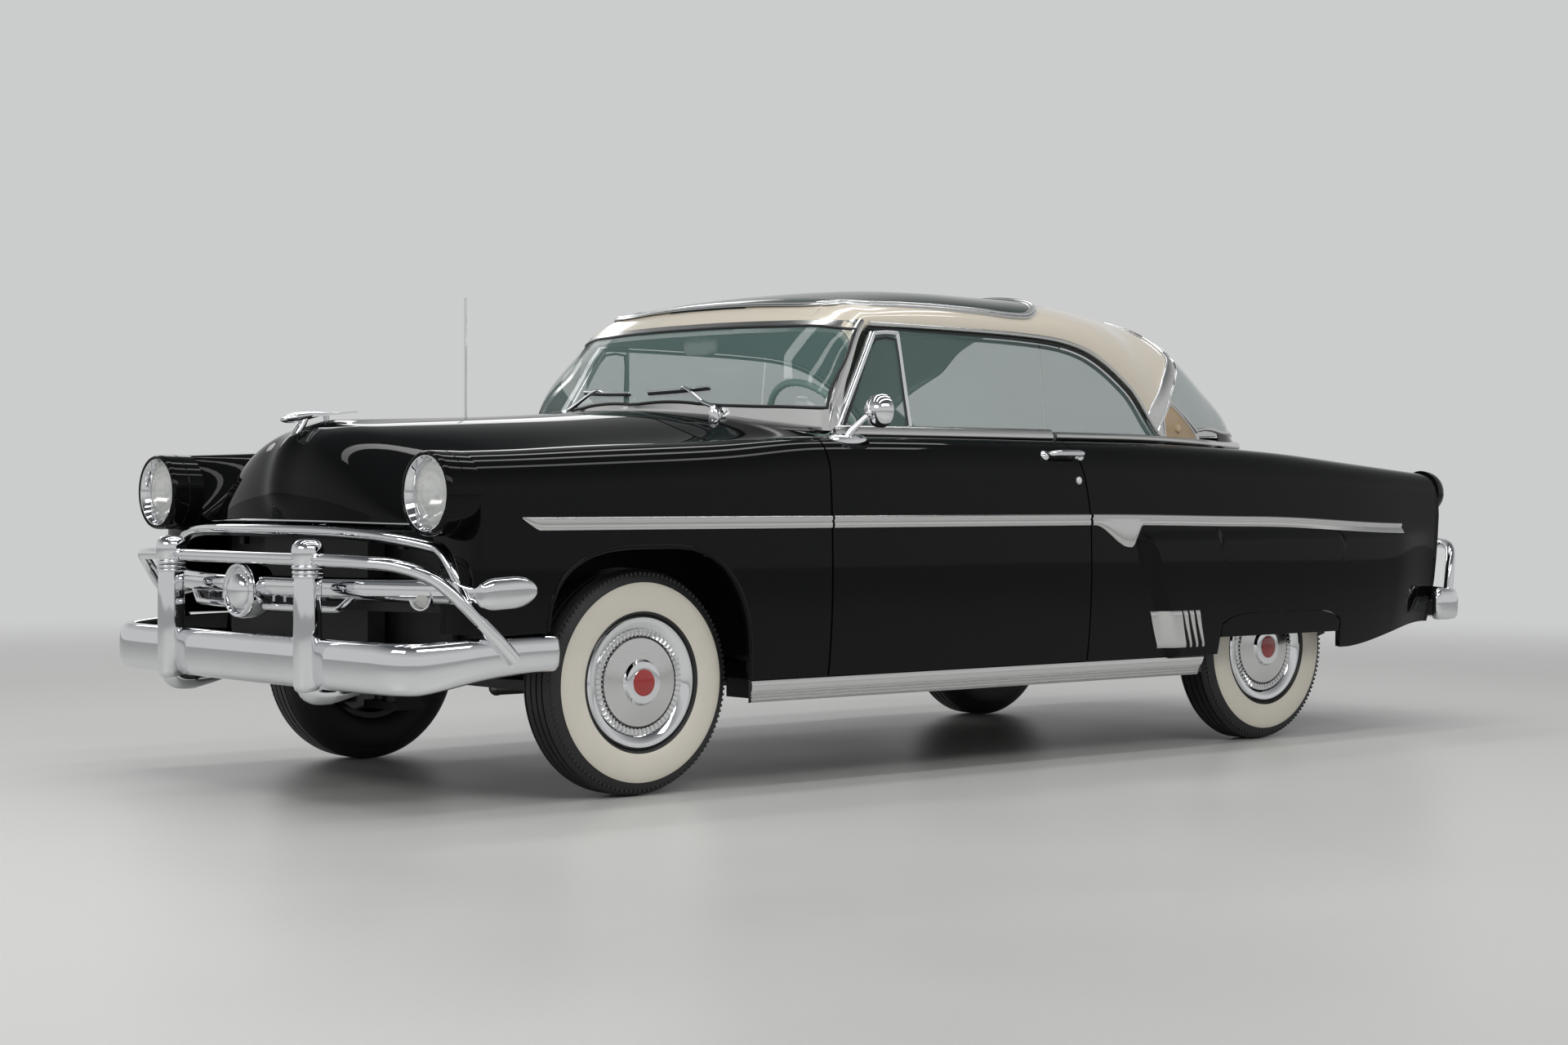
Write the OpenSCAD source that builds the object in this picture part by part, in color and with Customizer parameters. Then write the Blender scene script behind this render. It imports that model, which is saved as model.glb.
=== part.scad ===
// A 1950s two-door hardtop car: steel panels on a ladder frame, with a see-through roof panel.
// +X points forward, +Y to the car's left and +Z up. The origin is on the floor, below the middle.

/* [Overall] */
// Length over the front and rear bumper guards
overall_l = 5150; // [5050:10:5300]
// Front overhang, from the front axle to the front guard
front_overhang = 945; // [925:5:985]
// Distance between the axles
wheelbase = 2934; // [2900:2:2980]
// Width over the rear fenders
body_w = 1864; // [1840:2:1900]
// Height of the roof at its middle
roof_z = 1608; // [1580:2:1640]
// Height of the window sill line
belt_z = 1088; // [1080:1:1096]
// Height of the lower edge of the sills
sill_z = 272; // [262:1:282]

/* [Wheels] */
// Distance between the front tyres' middles
front_track = 1473; // [1450:1:1490]
// Distance between the rear tyres' middles
rear_track = 1422; // [1400:1:1440]
// Diameter of a tyre
tyre_d = 682; // [670:2:700]
// Width of a tyre
tyre_w = 174; // [164:1:180]
// Diameter of the rim's edge
rim_d = 406; // [396:1:412]
// Diameter of the hubcap's middle dome
cap_d = 270; // [250:1:290]
// Distance of the steering pivots from the middle
kingpin_y = 610; // [600:1:620]
// Clearance between a tyre and the panels beside it
tyre_room = 22; // [16:1:30]

/* [Panels] */
// Thickness of a body panel with its inner frame
panel_t = 22; // [16:1:26]
// Thickness of a door with its inner trim
door_t = 70; // [60:1:80]
// Thickness of window glass
glass_t = 6; // [5:0.5:8]
// Gap round a panel that opens
panel_gap = 7; // [6:0.5:9]
// Small clearance between pieces that sit on each other
seat_gap = 0.3; // [0.2:0.05:0.6]

/* [Hidden] */

front_axle_x = overall_l / 2 - front_overhang;
rear_axle_x = front_axle_x - wheelbase;
axle_z = tyre_d / 2;
half_w = body_w / 2;

// Places along the car
door_front_x = front_axle_x - 682;
door_rear_x = rear_axle_x + 1070;
cowl_x = front_axle_x - 430;
nose_x = front_axle_x + 640;
tail_x = rear_axle_x - 950;
gap = panel_gap / 2;
panel_low_z = sill_z + 63;
firewall_x = front_axle_x - 560;
pillar_x = door_front_x + 4;
pillar_l = 60;
support_x = front_axle_x + 540;
hinge_x = door_front_x - gap - 60;
hinge_zs = [575, 740];
hinge_r = 5;
// Widths that follow the body and the wheels
cabin_y = half_w - 226;
sill_y = half_w - 242;
rear_tyre_in = rear_track / 2 - tyre_w / 2;
rear_tyre_out = rear_track / 2 + tyre_w / 2;
house_y = rear_tyre_in - tyre_room;
spring_w = 60;
spring_y = rear_tyre_in - 64;
hinge_y = half_w - 37;

// Sections of the lower body, from the tail to the nose. Columns:
// x, half width, shoulder height, inset at the shoulder, inset at the sill,
// crown y, crown z, joint y, joint z
BODY = [
    [tail_x,              half_w - 72, 905, 8, 60, half_w - 154, 985, half_w - 332, 960],
    [rear_axle_x - 500,   half_w - 40, 918, 10, 40, half_w - 157, 1022, half_w - 307, 1008],
    [rear_axle_x,         half_w - 28, 930, 10, 30, half_w - 150, belt_z - 28, half_w - 268, belt_z - 30],
    [door_rear_x - 450,   half_w - 27, 940, 10, 30, half_w - 137, belt_z - 6, half_w - 180, belt_z - 6],
    [door_rear_x,         half_w - 27, 945, 10, 30, half_w - 132, belt_z - 3, half_w - 164, belt_z - 3],
    [door_front_x,        half_w - 27, 945, 10, 30, half_w - 132, belt_z - 3, half_w - 197, belt_z],
    [front_axle_x - 300,  half_w - 26, 930, 8, 30, half_w - 157, 1066, half_w - 260, 1046],
    [front_axle_x + 150,  half_w - 24, 915, 6, 35, half_w - 160, 1048, half_w - 292, 1000],
    [front_axle_x + 450,  half_w - 24, 905, 5, 45, half_w - 147, 1031, half_w - 292, 935],
    [nose_x,              half_w - 24, 900, 4, 60, half_w - 144, 1024, half_w - 277, 818]];
wide_z = 640;

// Cubic through a table's rows: the value of column c at x
function slope(t, c, i) = let (a = max(i - 1, 0), b = min(i + 1, len(t) - 1))
    (t[b][c] - t[a][c]) / (t[b][0] - t[a][0]);
function row_at(t, x, i = 0) = i >= len(t) - 2 || x < t[i + 1][0] ? i : row_at(t, x, i + 1);
function at(t, c, x) = let (i = row_at(t, x), h = t[i + 1][0] - t[i][0],
        s = min(max((x - t[i][0]) / h, 0), 1), s2 = s * s, s3 = s2 * s)
    (2 * s3 - 3 * s2 + 1) * t[i][c] + (s3 - 2 * s2 + s) * h * slope(t, c, i)
    + (3 * s2 - 2 * s3) * t[i + 1][c] + (s3 - s2) * h * slope(t, c, i + 1);
function step(a, b, x) = let (s = min(max((x - a) / (b - a), 0), 1)) s * s * (3 - 2 * s);
function mix(a, b, s) = a + (b - a) * s;

// The rear fender stands out behind a leaning edge and below a long crease
fender_out = max(26, rear_tyre_out + tyre_room + panel_t - (half_w - 28));
function fender_edge(z) = door_rear_x - 232 - 0.4 * (765 - z);
function bulge(x, z) = fender_out * step(fender_edge(z) + 10, fender_edge(z) - 45, x)
    * step(785, 735, z) * step(tail_x - 20, tail_x + 300, x);

// Half width of the body side at a place and height
function side_y(x, z) = let (zs = at(BODY, 2, x))
    at(BODY, 1, x) + bulge(x, z)
    - (z > wide_z ? at(BODY, 3, x) * pow((z - wide_z) / (zs - wide_z), 2)
        : at(BODY, 4, x) * pow((wide_z - z) / (wide_z - sill_z), 2));
// Point on the shoulder's quarter round, a from 0 at the side to 90 on top
function crown(x, a) = let (zs = at(BODY, 2, x), yc = at(BODY, 5, x), zc = at(BODY, 6, x))
    [x, yc + (side_y(x, zs) - yc) * cos(a), zs + (zc - zs) * sin(a)];
// Point between the crown and the joint with the hood or deck, s from 0 to 1
function shelf(x, s, inset) = let (yc = at(BODY, 5, x), zc = at(BODY, 6, x),
        yg = at(BODY, 7, x) + inset, zg = at(BODY, 8, x))
    [x, mix(yc, yg, s), mix(zc, zg, (1 - cos(180 * s)) / 2)];

// Sheets: a grid of outer points, and the same grid moved inwards
function unit(v) = v / max(norm(v), 1e-9);
function normal(g, i, j) = let (n = len(g) - 1, m = len(g[0]) - 1)
    unit(cross(g[min(i + 1, n)][j] - g[max(i - 1, 0)][j], g[i][min(j + 1, m)] - g[i][max(j - 1, 0)]));
function moved(g, d) = [for (i = [0:len(g) - 1]) [for (j = [0:len(g[0]) - 1]) g[i][j] + d * normal(g, i, j)]];
function shifted(g, v) = [for (r = g) [for (p = r) p + v]];
function flat(g) = [for (r = g) for (p = r) p];
function skin(n, m, o, turn) = [for (i = [0:n - 2]) for (j = [0:m - 2]) for (k = [0, 1])
    let (a = o + i * m + j, b = a + m, c = b + 1, d = a + 1,
        t = k == 0 ? [a, b, c] : [a, c, d]) turn ? [t[2], t[1], t[0]] : t];
function rim_loop(n, m) = concat([for (i = [0:n - 1]) i * m], [for (j = [1:m - 1]) (n - 1) * m + j],
    [for (i = [n - 2:-1:0]) i * m + m - 1], [for (j = [m - 2:-1:1]) j]);
function rim(a, b, k, turn) = turn ? [[a, b, b + k], [a, b + k, a + k]] : [[b, a, a + k], [b, a + k, b + k]];
module sheet(outer, inner) {
    n = len(outer);
    m = len(outer[0]);
    loop = rim_loop(n, m);
    i = floor(n / 2);
    j = floor(m / 2);
    turn = (inner[i][j] - outer[i][j]) * normal(outer, i, j) < 0;
    polyhedron(concat(flat(outer), flat(inner)), concat(skin(n, m, 0, turn), skin(n, m, n * m, !turn),
        [for (q = [0:len(loop) - 1]) each rim(loop[q], loop[(q + 1) % len(loop)], n * m, turn)]));
}
// A closed band: rows go round, and the last one joins the first
function band_skin(n, m, o, turn) = [for (i = [0:n - 1]) for (j = [0:m - 2]) for (k = [0, 1])
    let (a = o + i * m + j, b = o + ((i + 1) % n) * m + j, c = b + 1, d = a + 1,
        t = k == 0 ? [a, b, c] : [a, c, d]) turn ? [t[2], t[1], t[0]] : t];
module band(outer, inner, turn) {
    n = len(outer);
    m = len(outer[0]);
    polyhedron(concat(flat(outer), flat(inner)), concat(band_skin(n, m, 0, turn),
        band_skin(n, m, n * m, !turn),
        [for (i = [0:n - 1]) each rim(i * m, ((i + 1) % n) * m, n * m, turn)],
        [for (i = [0:n - 1]) each rim(((i + 1) % n) * m + m - 1, i * m + m - 1, n * m, turn)]));
}
// A bar: sections, each a ring of points, one after another
module bar(rings) {
    n = len(rings);
    m = len(rings[0]);
    polyhedron(flat(rings), concat(
        [for (i = [0:n - 2]) for (j = [0:m - 1]) for (k = [0, 1])
            let (a = i * m + j, b = i * m + (j + 1) % m, c = b + m, d = a + m) k == 0 ? [a, b, c] : [a, c, d]],
        [for (j = [1:m - 2]) [0, j + 1, j]],
        [for (j = [1:m - 2]) [(n - 1) * m, (n - 1) * m + j, (n - 1) * m + j + 1]]));
}
// Rings of a round tube along a path of points
function tangent(p, i) = unit(p[min(i + 1, len(p) - 1)] - p[max(i - 1, 0)]);
function tube_rings(p, r, k) = [for (i = [0:len(p) - 1]) let (t = tangent(p, i),
        u = unit(cross(t, abs(t[2]) > 0.9 ? [1, 0, 0] : [0, 0, 1])), v = cross(t, u))
    [for (q = [0:k - 1]) p[i] + r * (cos(360 * q / k) * u - sin(360 * q / k) * v)]];
function spread(a, b, n) = [for (i = [0:n]) mix(a, b, i / n)];

module mirrored(right) {
    if (right) mirror([0, 1, 0]) children();
    else children();
}

// Wheel openings
front_arch_x = front_axle_x + 22;
front_arch_w = 385;
front_arch_z = 742;
fender_low_z = 505;
function arch_z(x) = let (u = (x - front_arch_x) / front_arch_w, low = u > 0 ? fender_low_z : panel_low_z)
    abs(u) >= 1 ? low : low + (front_arch_z - low) * pow(1 - pow(abs(u), 3.2), 1 / 2.2);

// A column of side points from the lower edge over the shoulder to the inner joint
function column(x, low, top_s, inset) = concat(
    [for (z = spread(low, at(BODY, 2, x), 6)) [x, side_y(x, z), z]],
    [for (a = [22.5:22.5:90]) crown(x, a)],
    [for (s = spread(0, top_s, 3)) if (s > 0) shelf(x, s, inset)]);

fender_xs = concat(spread(door_front_x + gap, front_arch_x - front_arch_w, 3),
    [for (a = [15:15:165]) front_arch_x - front_arch_w * cos(a)],
    spread(front_arch_x + front_arch_w, nose_x, 3));
module front_fender(right) color("black") mirrored(right) {
    g = [for (x = fender_xs) column(x, arch_z(x), 1, gap)];
    sheet(g, moved(g, panel_t));
    translate([support_x + 16 + seat_gap, half_w - 352, 690]) cube([40, side_y(support_x + 40, 720) - half_w + 342, 60]);
    translate([pillar_x + pillar_l + seat_gap, half_w - 172, 620]) cube([30, side_y(door_front_x, 650) - half_w + 162, 60]);
}

// Hood: columns are the middle line's x and z, and the side edge's x
HOOD = [
    [0, cowl_x + gap,        1176, cowl_x + gap],
    [1, front_axle_x - 150,  1157, front_axle_x - 160],
    [2, front_axle_x + 150,  1140, front_axle_x + 130],
    [3, front_axle_x + 450,  1124, front_axle_x + 400],
    [4, front_axle_x + 600,  1112, front_axle_x + 520],
    [5, front_axle_x + 690,  1078, front_axle_x + 580],
    [6, front_axle_x + 740,  1020,  front_axle_x + 612],
    [7, front_axle_x + 764,  925,  front_axle_x + 630],
    [8, front_axle_x + 759,  824,  nose_x]];
function dome(v) = pow(cos(90 * pow(v, 1.35)), 2);
function hood_point(t, v) = let (cx = at(HOOD, 1, t), cz = at(HOOD, 2, t), gx = at(HOOD, 3, t), u = abs(v))
    [mix(cx, gx, u * u), sign(v) * u * (at(BODY, 7, gx) - gap), mix(at(BODY, 8, gx), cz, dome(u))];
hood_g = [for (t = spread(0, 8, 18)) [for (v = spread(1, -1, 16)) hood_point(t, v)]];
hood_in = moved(hood_g, panel_t);
module hood() color("black") sheet(hood_g, hood_in);

// Glasshouse: columns are x, middle height, edge y, edge height
header_x = front_axle_x - 830;
GLASS = [
    [rear_axle_x - 290,  belt_z + 22, 10, belt_z + 18],
    [rear_axle_x - 235,  belt_z + 58, half_w - 572, belt_z + 15],
    [rear_axle_x - 60,   roof_z - 326, half_w - 372, belt_z + 8],
    [rear_axle_x + 130,  roof_z - 186, half_w - 282, belt_z + 4],
    [rear_axle_x + 290,  roof_z - 80, half_w - 227, belt_z + 4],
    [rear_axle_x + 490,  roof_z - 25, half_w - 197, belt_z + 6],
    [rear_axle_x + 700,  roof_z - 11, half_w - 194, roof_z - 328],
    [rear_axle_x + 920,  roof_z - 4, half_w - 198, roof_z - 205],
    [rear_axle_x + 1180, roof_z, half_w - 206, roof_z - 164],
    [front_axle_x - 1336, roof_z - 2, half_w - 208, roof_z - 154],
    [front_axle_x - 994, roof_z - 46, half_w - 210, roof_z - 152],
    [front_axle_x - 880, roof_z - 98, half_w - 180, roof_z - 328],
    [front_axle_x - 767, belt_z + 324, half_w - 146, belt_z + 16],
    [front_axle_x - 690, belt_z + 230, half_w - 332, belt_z + 42],
    [front_axle_x - 620, belt_z + 138, half_w - 612, belt_z + 80],
    [front_axle_x - 588, belt_z + 102, 10, belt_z + 100]];
function glass_point(x, a, n = 2.6) = let (zc = at(GLASS, 1, x), ye = at(GLASS, 2, x), ze = at(GLASS, 3, x))
    [x, ye * pow(sin(a), 2 / n), ze + (zc - ze) * pow(max(cos(a), 0), 2 / n)];

function inset(p, t) = p - t * unit([0, p[1], p[2] - 700]);
function inset_all(g, t) = [for (r = g) [for (p = r) inset(p, t)]];
function on_dome(x, a) = let (p = glass_point(x, abs(a))) [p[0], sign(a) * p[1], p[2]];
roof_front_x = front_axle_x - 994;
roof_rear_x = rear_axle_x + 290;
function header(a) = mix(header_x, roof_front_x, pow(a / 90, 2));
function roof_end(a) = mix(rear_axle_x + 400, roof_rear_x, abs(a) / 90);
across = spread(-90, 90, 14);
module roof() color("tan") {
    g = [for (i = [0:18]) [for (a = across) on_dome(mix(roof_end(a), header(a) - 1, i / 18), a)]];
    difference() {
        sheet(g, inset_all(g, panel_t));
        translate([roof_panel_x, -roof_panel_w / 2, roof_z - 130]) cube([roof_panel_l, roof_panel_w, 200]);
    }
    for (m = [0, 1]) mirror([0, m, 0]) translate([rear_axle_x + 350, half_w - 292, 1020 + seat_gap]) cube([60, 78, 110]);
}
roof_panel_x = front_axle_x - 1980;
roof_panel_l = 1070;
roof_panel_w = body_w - 864;
module roof_glass() color("darkgreen") {
    g = [for (x = spread(roof_panel_x + 0.6, roof_panel_x + roof_panel_l - 0.6, 6)) [for (y = spread(-1, 1, 8))
        let (zc = at(GLASS, 1, x), ye = at(GLASS, 2, x), ze = at(GLASS, 3, x), v = abs(y) * (roof_panel_w / 2 - 0.6))
        [x, sign(y) * v, ze + (zc - ze) * pow(1 - pow(v / ye, 2.6), 1 / 2.6)]]];
    sheet(g, inset_all(g, 12));
}

function pane_low(a) = mix(front_axle_x - 600, front_axle_x - 782, pow(a / 80, 2));
function pane_high(a) = header(a) + 22;
pane_across = spread(-80, 80, 14);
module windshield() color("lightblue") {
    k = 0.994;
    g = [for (i = [0:12]) [for (a = pane_across) let (s = mix(1 - k + 0.016 * pow(abs(a) / 80, 6), k, i / 12))
        on_dome(mix(pane_high(a), pane_low(a), s), a * k)]];
    sheet(g, inset_all(g, glass_t));
}
function frame_low(a) = mix(front_axle_x - 589, front_axle_x - 768, pow(a / 90, 2));
module windshield_frame() color("silver") {
    g = concat([for (a = pane_across) [on_dome(pane_low(a), a), on_dome(frame_low(a * 9 / 8), a * 9 / 8)]],
        [for (i = [11:-1:1]) [on_dome(mix(pane_high(80), pane_low(80), i / 12), 80),
            on_dome(mix(header(90), frame_low(90), i / 12), 90)]],
        [for (k = [14:-1:0]) let (a = pane_across[k])
            [on_dome(pane_high(a), a), on_dome(header(a * 9 / 8), a * 9 / 8)]],
        [for (i = [1:11]) [on_dome(mix(pane_high(-80), pane_low(-80), i / 12), -80),
            on_dome(mix(header(-90), frame_low(-90), i / 12), -90)]]);
    band(g, inset_all(g, panel_t), true);
}
module backlight() color("lightblue") {
    g = [for (i = [0:12]) [for (a = across) let (b = abs(a) / 90,
        x = mix(rear_axle_x - 278 + 150 * b * b, roof_end(a) - 0.4, i / 12)) on_dome(x, a * 0.99)]];
    sheet(g, inset_all(g, glass_t));
}

module cowl() color("black") {
    g = [for (i = [0:5]) [for (v = spread(1, -1, 14)) let (h = hood_point(0, v), u = abs(v),
        w = [mix(front_axle_x - 582, front_axle_x - 760, u * u), v * (half_w - 199), mix(belt_z + 92, belt_z + 2, u * u)])
        mix([h[0] - panel_gap, h[1], h[2]], w, i / 5)]];
    sheet(g, moved(g, -panel_t));
    translate([firewall_x, -300, 1010 + seat_gap]) cube([16, 600, 150]);
}

function door_rear_edge(z) = door_rear_x + 60 * pow(max(z - 760, 0) / 320, 2);
door_top_y = half_w - 187;
module door(right) color("black") mirrored(right) {
    cols = [for (i = [0:10]) column(mix(door_rear_x, door_front_x, i / 10), panel_low_z, 0.3, 0)];
    g = [for (i = [0:10]) [for (p = cols[i])
        [mix(door_rear_edge(p[2]) + gap, door_front_x - gap, i / 10), p[1], p[2]]]];
    m = len(g[0]) - 1;
    h = [for (i = [0:10]) [for (j = [0:m]) let (z = mix(g[i][0][2] + 4, g[i][m][2] - 8, j / m))
        [mix(door_rear_edge(z) + gap, door_front_x - gap, i / 10),
            mix(side_y(g[i][0][0], wide_z) - door_t, door_top_y, pow(j / m, 2)), z]]];
    difference() {
        sheet(g, h);
        for (z = hinge_zs) {
            translate([hinge_x, hinge_y, z - 26]) cylinder(r = hinge_r + seat_gap, h = 52);
            translate([hinge_x - 20, hinge_y - 140, z - 13]) cube([120, 140 + hinge_r + 1, 26]);
        }
    }
}
// Hinge arms of one door: a pin on an arm that reaches round the door's front edge
module hinge_arms() for (z = hinge_zs) {
    translate([hinge_x, hinge_y, z - 24]) cylinder(r = hinge_r, h = 48);
    translate([hinge_x - 7, hinge_y - 113, z - 7]) cube([14, 113, 14]);
    translate([hinge_x - 7, hinge_y - 113, z - 7]) cube([pillar_x + 10 - hinge_x, 16, 14]);
}

rear_arch_x = rear_axle_x + 65;
rear_arch_w = 345;
rear_arch_z = 480;
function rear_arch(x) = let (u = (x - rear_arch_x) / rear_arch_w, low = mix(333, 412, step(rear_axle_x - 280, tail_x, x)))
    abs(u) >= 1 ? max(panel_low_z, low) : max(low, rear_arch_z - 40 * pow(abs(u), 6));
quarter_xs = concat(spread(tail_x, rear_arch_x - rear_arch_w - 5, 4),
    [for (a = [0:20:180]) rear_arch_x - 0.999 * rear_arch_w * cos(a)],
    spread(rear_arch_x + rear_arch_w + 5, door_rear_x - 300, 3), spread(door_rear_x - 260, door_rear_x - gap, 5));
// The tail's edge leans forward below the lamp
function lean(x, z) = 0.125 * max(835 - z, 0) * step(rear_axle_x - 300, tail_x, x);
function tail_lean(c) = [for (p = c) p + [lean(p[0], p[2]), 0, 0]];
module quarter(right) color("black") mirrored(right) {
    g = [for (x = quarter_xs) tail_lean(column(x, rear_arch(x), 1, gap))];
    sheet(g, moved(g, panel_t));
    translate([door_rear_x - 60, half_w - 172 + seat_gap, 560]) cube([30, side_y(door_rear_x, 590) - half_w + 162, 60]);
}

// Trunk lid: columns are the middle line's x and z, and the side edge's x and z
LID = [
    [0, rear_axle_x - 390,  1076, rear_axle_x - 340, 1030],
    [1, rear_axle_x - 570,  1034, rear_axle_x - 550, 1000],
    [2, rear_axle_x - 780,  972, rear_axle_x - 760, 950],
    [3, rear_axle_x - 930,  905, rear_axle_x - 890, 900],
    [4, rear_axle_x - 1010, 800, rear_axle_x - 940, 800],
    [5, rear_axle_x - 1050, 620, rear_axle_x - 965, 620]];
function lid_point(t, v) = let (u = abs(v), x = at(LID, 3, t))
    [mix(at(LID, 1, t), x, u * u), v * (at(BODY, 7, max(x, tail_x)) - gap), mix(at(LID, 2, t), at(LID, 4, t), u * u)];
lid_g = [for (t = spread(0, 5, 12)) [for (v = spread(1, -1, 12)) lid_point(t, v)]];
lid_in = moved(lid_g, -panel_t);
module trunk_lid() color("black") sheet(lid_g, lid_in);

// Deck between the rear window and the trunk lid
function base_x(y) = rear_axle_x - 296 + 420 * pow(min(abs(y) / (half_w - 282), 1), 4.5);
module rear_deck() color("black") {
    g = [for (i = [0:3]) [for (v = spread(1, -1, 14)) let (l = lid_point(0, v), y = v * (half_w - 292),
        w = [base_x(y), y, mix(belt_z + 12, belt_z - 18, v * v)])
        mix([l[0] + panel_gap, l[1], l[2]], w, i / 3)]];
    sheet(g, moved(g, panel_t));
    translate([rear_axle_x - 352, -300, 1000 + seat_gap]) cube([16, 600, 68]);
}

// Frame: one rail's outline from the side, and the cross members
rail_y = kingpin_y - 170;
rear_rail_y = spring_y - spring_w - 60;
rail_w = 70;
FRONT_RAIL = [[front_axle_x + 800, 360], [front_axle_x + 350, 350], [front_axle_x - 480, 282],
    [rear_axle_x + 700, 282], [rear_axle_x + 700, 388], [front_axle_x - 480, 388],
    [front_axle_x + 350, 450], [front_axle_x + 800, 450]];
REAR_RAIL = [[rear_axle_x + 860, 284], [rear_axle_x + 600, 284], [rear_axle_x + 300, 470],
    [rear_axle_x - 330, 470], [rear_axle_x - 600, 390], [rear_axle_x - 1000, 390],
    [rear_axle_x - 1000, 480], [rear_axle_x - 620, 480], [rear_axle_x - 350, 570],
    [rear_axle_x + 320, 570], [rear_axle_x + 620, 386], [rear_axle_x + 860, 386]];
module cross(x, l, z, h, y = rail_y) translate([x - l / 2, -y + 10, z]) cube([l, 2 * y - 20, h]);
module chassis_frame() color("dimgray") {
    for (m = [0, 1]) mirror([0, m, 0]) {
        translate([0, rail_y, 0]) rotate([90, 0, 0]) linear_extrude(rail_w) polygon(FRONT_RAIL);
        translate([0, rear_rail_y - 2, 0]) rotate([90, 0, 0]) linear_extrude(rail_w - 4) polygon(REAR_RAIL);
        translate([rear_axle_x + 720, min(rail_y, rear_rail_y) - rail_w + 5, 300])
            cube([60, abs(rail_y - rear_rail_y) + rail_w - 10, 60]);
        for (x = [front_axle_x - 660, front_axle_x - 1300, rear_axle_x + 820])
            translate([x - 40, rail_y - 10, 300]) cube([80, sill_y - rail_y, 60]);
        translate([rear_axle_x + 580, rear_rail_y - 10, 325]) cube([60, 70 - seat_gap, 60]);
        translate([rear_axle_x - 640, rear_rail_y - 10, 350]) cube([60, 70 - seat_gap, 70]);
    }
    cross(front_axle_x, 130, 290, 75);
    cross(front_axle_x + 600, 80, 370, 70);
    cross(front_axle_x - 1250, 100, 285, 60);
    cross(rear_axle_x + 340, 80, 480, 80, rear_rail_y);
    cross(rear_axle_x - 900, 80, 395, 75, rear_rail_y);
}

// Kingpin carriers and arms of the front suspension
pin_r = 27;
flange_h = 34;
arm_low_z = axle_z - 135;
arm_high_z = axle_z + 115;
module front_suspension() color("dimgray") for (m = [0, 1]) mirror([0, m, 0]) {
    translate([front_axle_x - 55, rail_y + seat_gap, arm_low_z - 26]) cube([110, kingpin_y + 30 - rail_y, 26]);
    translate([front_axle_x - 45, rail_y + seat_gap, arm_high_z]) cube([90, kingpin_y + 30 - rail_y, 22]);
    translate([front_axle_x - 45, rail_y + seat_gap, arm_low_z - 26]) cube([90, 20, arm_high_z - arm_low_z + 48]);
    translate([front_axle_x, kingpin_y - 98, arm_low_z - 1]) cylinder(r = 48, h = arm_high_z - arm_low_z + 2);
}
module knuckle(right) color("gray") mirrored(right) {
    translate([front_axle_x, kingpin_y, arm_low_z + seat_gap])
        cylinder(r = pin_r, h = arm_high_z - arm_low_z - 2 * seat_gap);
    translate([front_axle_x, kingpin_y, axle_z]) rotate([-90, 0, 0]) cylinder(r = 22, h = front_track / 2 + 20 - kingpin_y);
    translate([front_axle_x, kingpin_y, axle_z]) rotate([-90, 0, 0]) cylinder(r = 60, h = flange_h);
}

// Engine with its gearbox, at the place the hood and tunnel leave for it
engine_z = 440;
module engine() color("darkslategray") {
    translate([front_axle_x - 330, -230, 470]) cube([560, 460, 330]);
    translate([front_axle_x - 320, -160, 366]) cube([520, 320, 110]);
    translate([front_axle_x - 250, -110, 800]) cube([340, 220, 120]);
    translate([front_axle_x - 1150, 0, engine_z]) rotate([0, 90, 0]) cylinder(r = 105, h = 860);
    translate([front_axle_x - 60, -rail_y + rail_w + seat_gap, 400]) cube([110, 2 * (rail_y - rail_w - seat_gap), 40]);
}
module radiator() color("dimgray") {
    w = 2 * (rail_y - rail_w) - 140;
    translate([front_axle_x + 570, -w / 2, 440 + seat_gap]) cube([60, w, 350]);
}

module rear_axle() color("dimgray") {
    translate([rear_axle_x, 0, axle_z]) rotate([90, 0, 0]) cylinder(r = 38, h = rear_track - 160, center = true);
    translate([rear_axle_x, 0, axle_z]) rotate([90, 0, 0]) cylinder(r = 22, h = rear_track + 40, center = true);
    translate([rear_axle_x, 0, axle_z]) rotate([90, 0, 0]) cylinder(r = 125, h = 190, center = true);
    shaft = [front_axle_x - 1150 - seat_gap, 0, engine_z];
    run = shaft - [rear_axle_x + 60, 0, axle_z];
    translate([rear_axle_x + 60, 0, axle_z]) rotate([0, 90 - atan2(run[2], run[0]), 0]) cylinder(r = 34, h = norm(run) - 4);
}
spring_z = axle_z - 38;
module leaf_springs() color("dimgray") for (m = [0, 1]) mirror([0, m, 0]) {
    translate([0, spring_y, 0]) rotate([90, 0, 0]) linear_extrude(spring_w) polygon(concat(
        [for (s = spread(-1, 1, 16)) [rear_axle_x + 640 * s, spring_z - seat_gap + 70 * s * s]],
        [for (s = spread(1, -1, 16)) [rear_axle_x + 640 * s, spring_z - 12 - 30 * (1 - abs(s)) + 70 * s * s]]));
}
pipe_y = 140 - rail_y;
pipe_z = 250;
module exhaust() color("gray") {
    rod([rear_axle_x - 1010, pipe_y, pipe_z], [front_axle_x - 250, pipe_y, pipe_z], 24);
    rod([front_axle_x - 1900, pipe_y, pipe_z], [front_axle_x - 1420, pipe_y, pipe_z], 72);
    translate([front_axle_x - 250, pipe_y, pipe_z]) sphere(r = 26);
    rod([front_axle_x - 250, pipe_y, pipe_z], [front_axle_x - 250, pipe_y, 560], 24.5);
    translate([front_axle_x - 250, pipe_y, 560]) sphere(r = 26);
    rod([front_axle_x - 250, pipe_y, 560], [front_axle_x - 250, -230 - seat_gap, 560], 24);
    rod([rear_axle_x - 900, pipe_y, pipe_z], [rear_axle_x - 900, pipe_y, 395 - seat_gap], 9);
}
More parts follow.
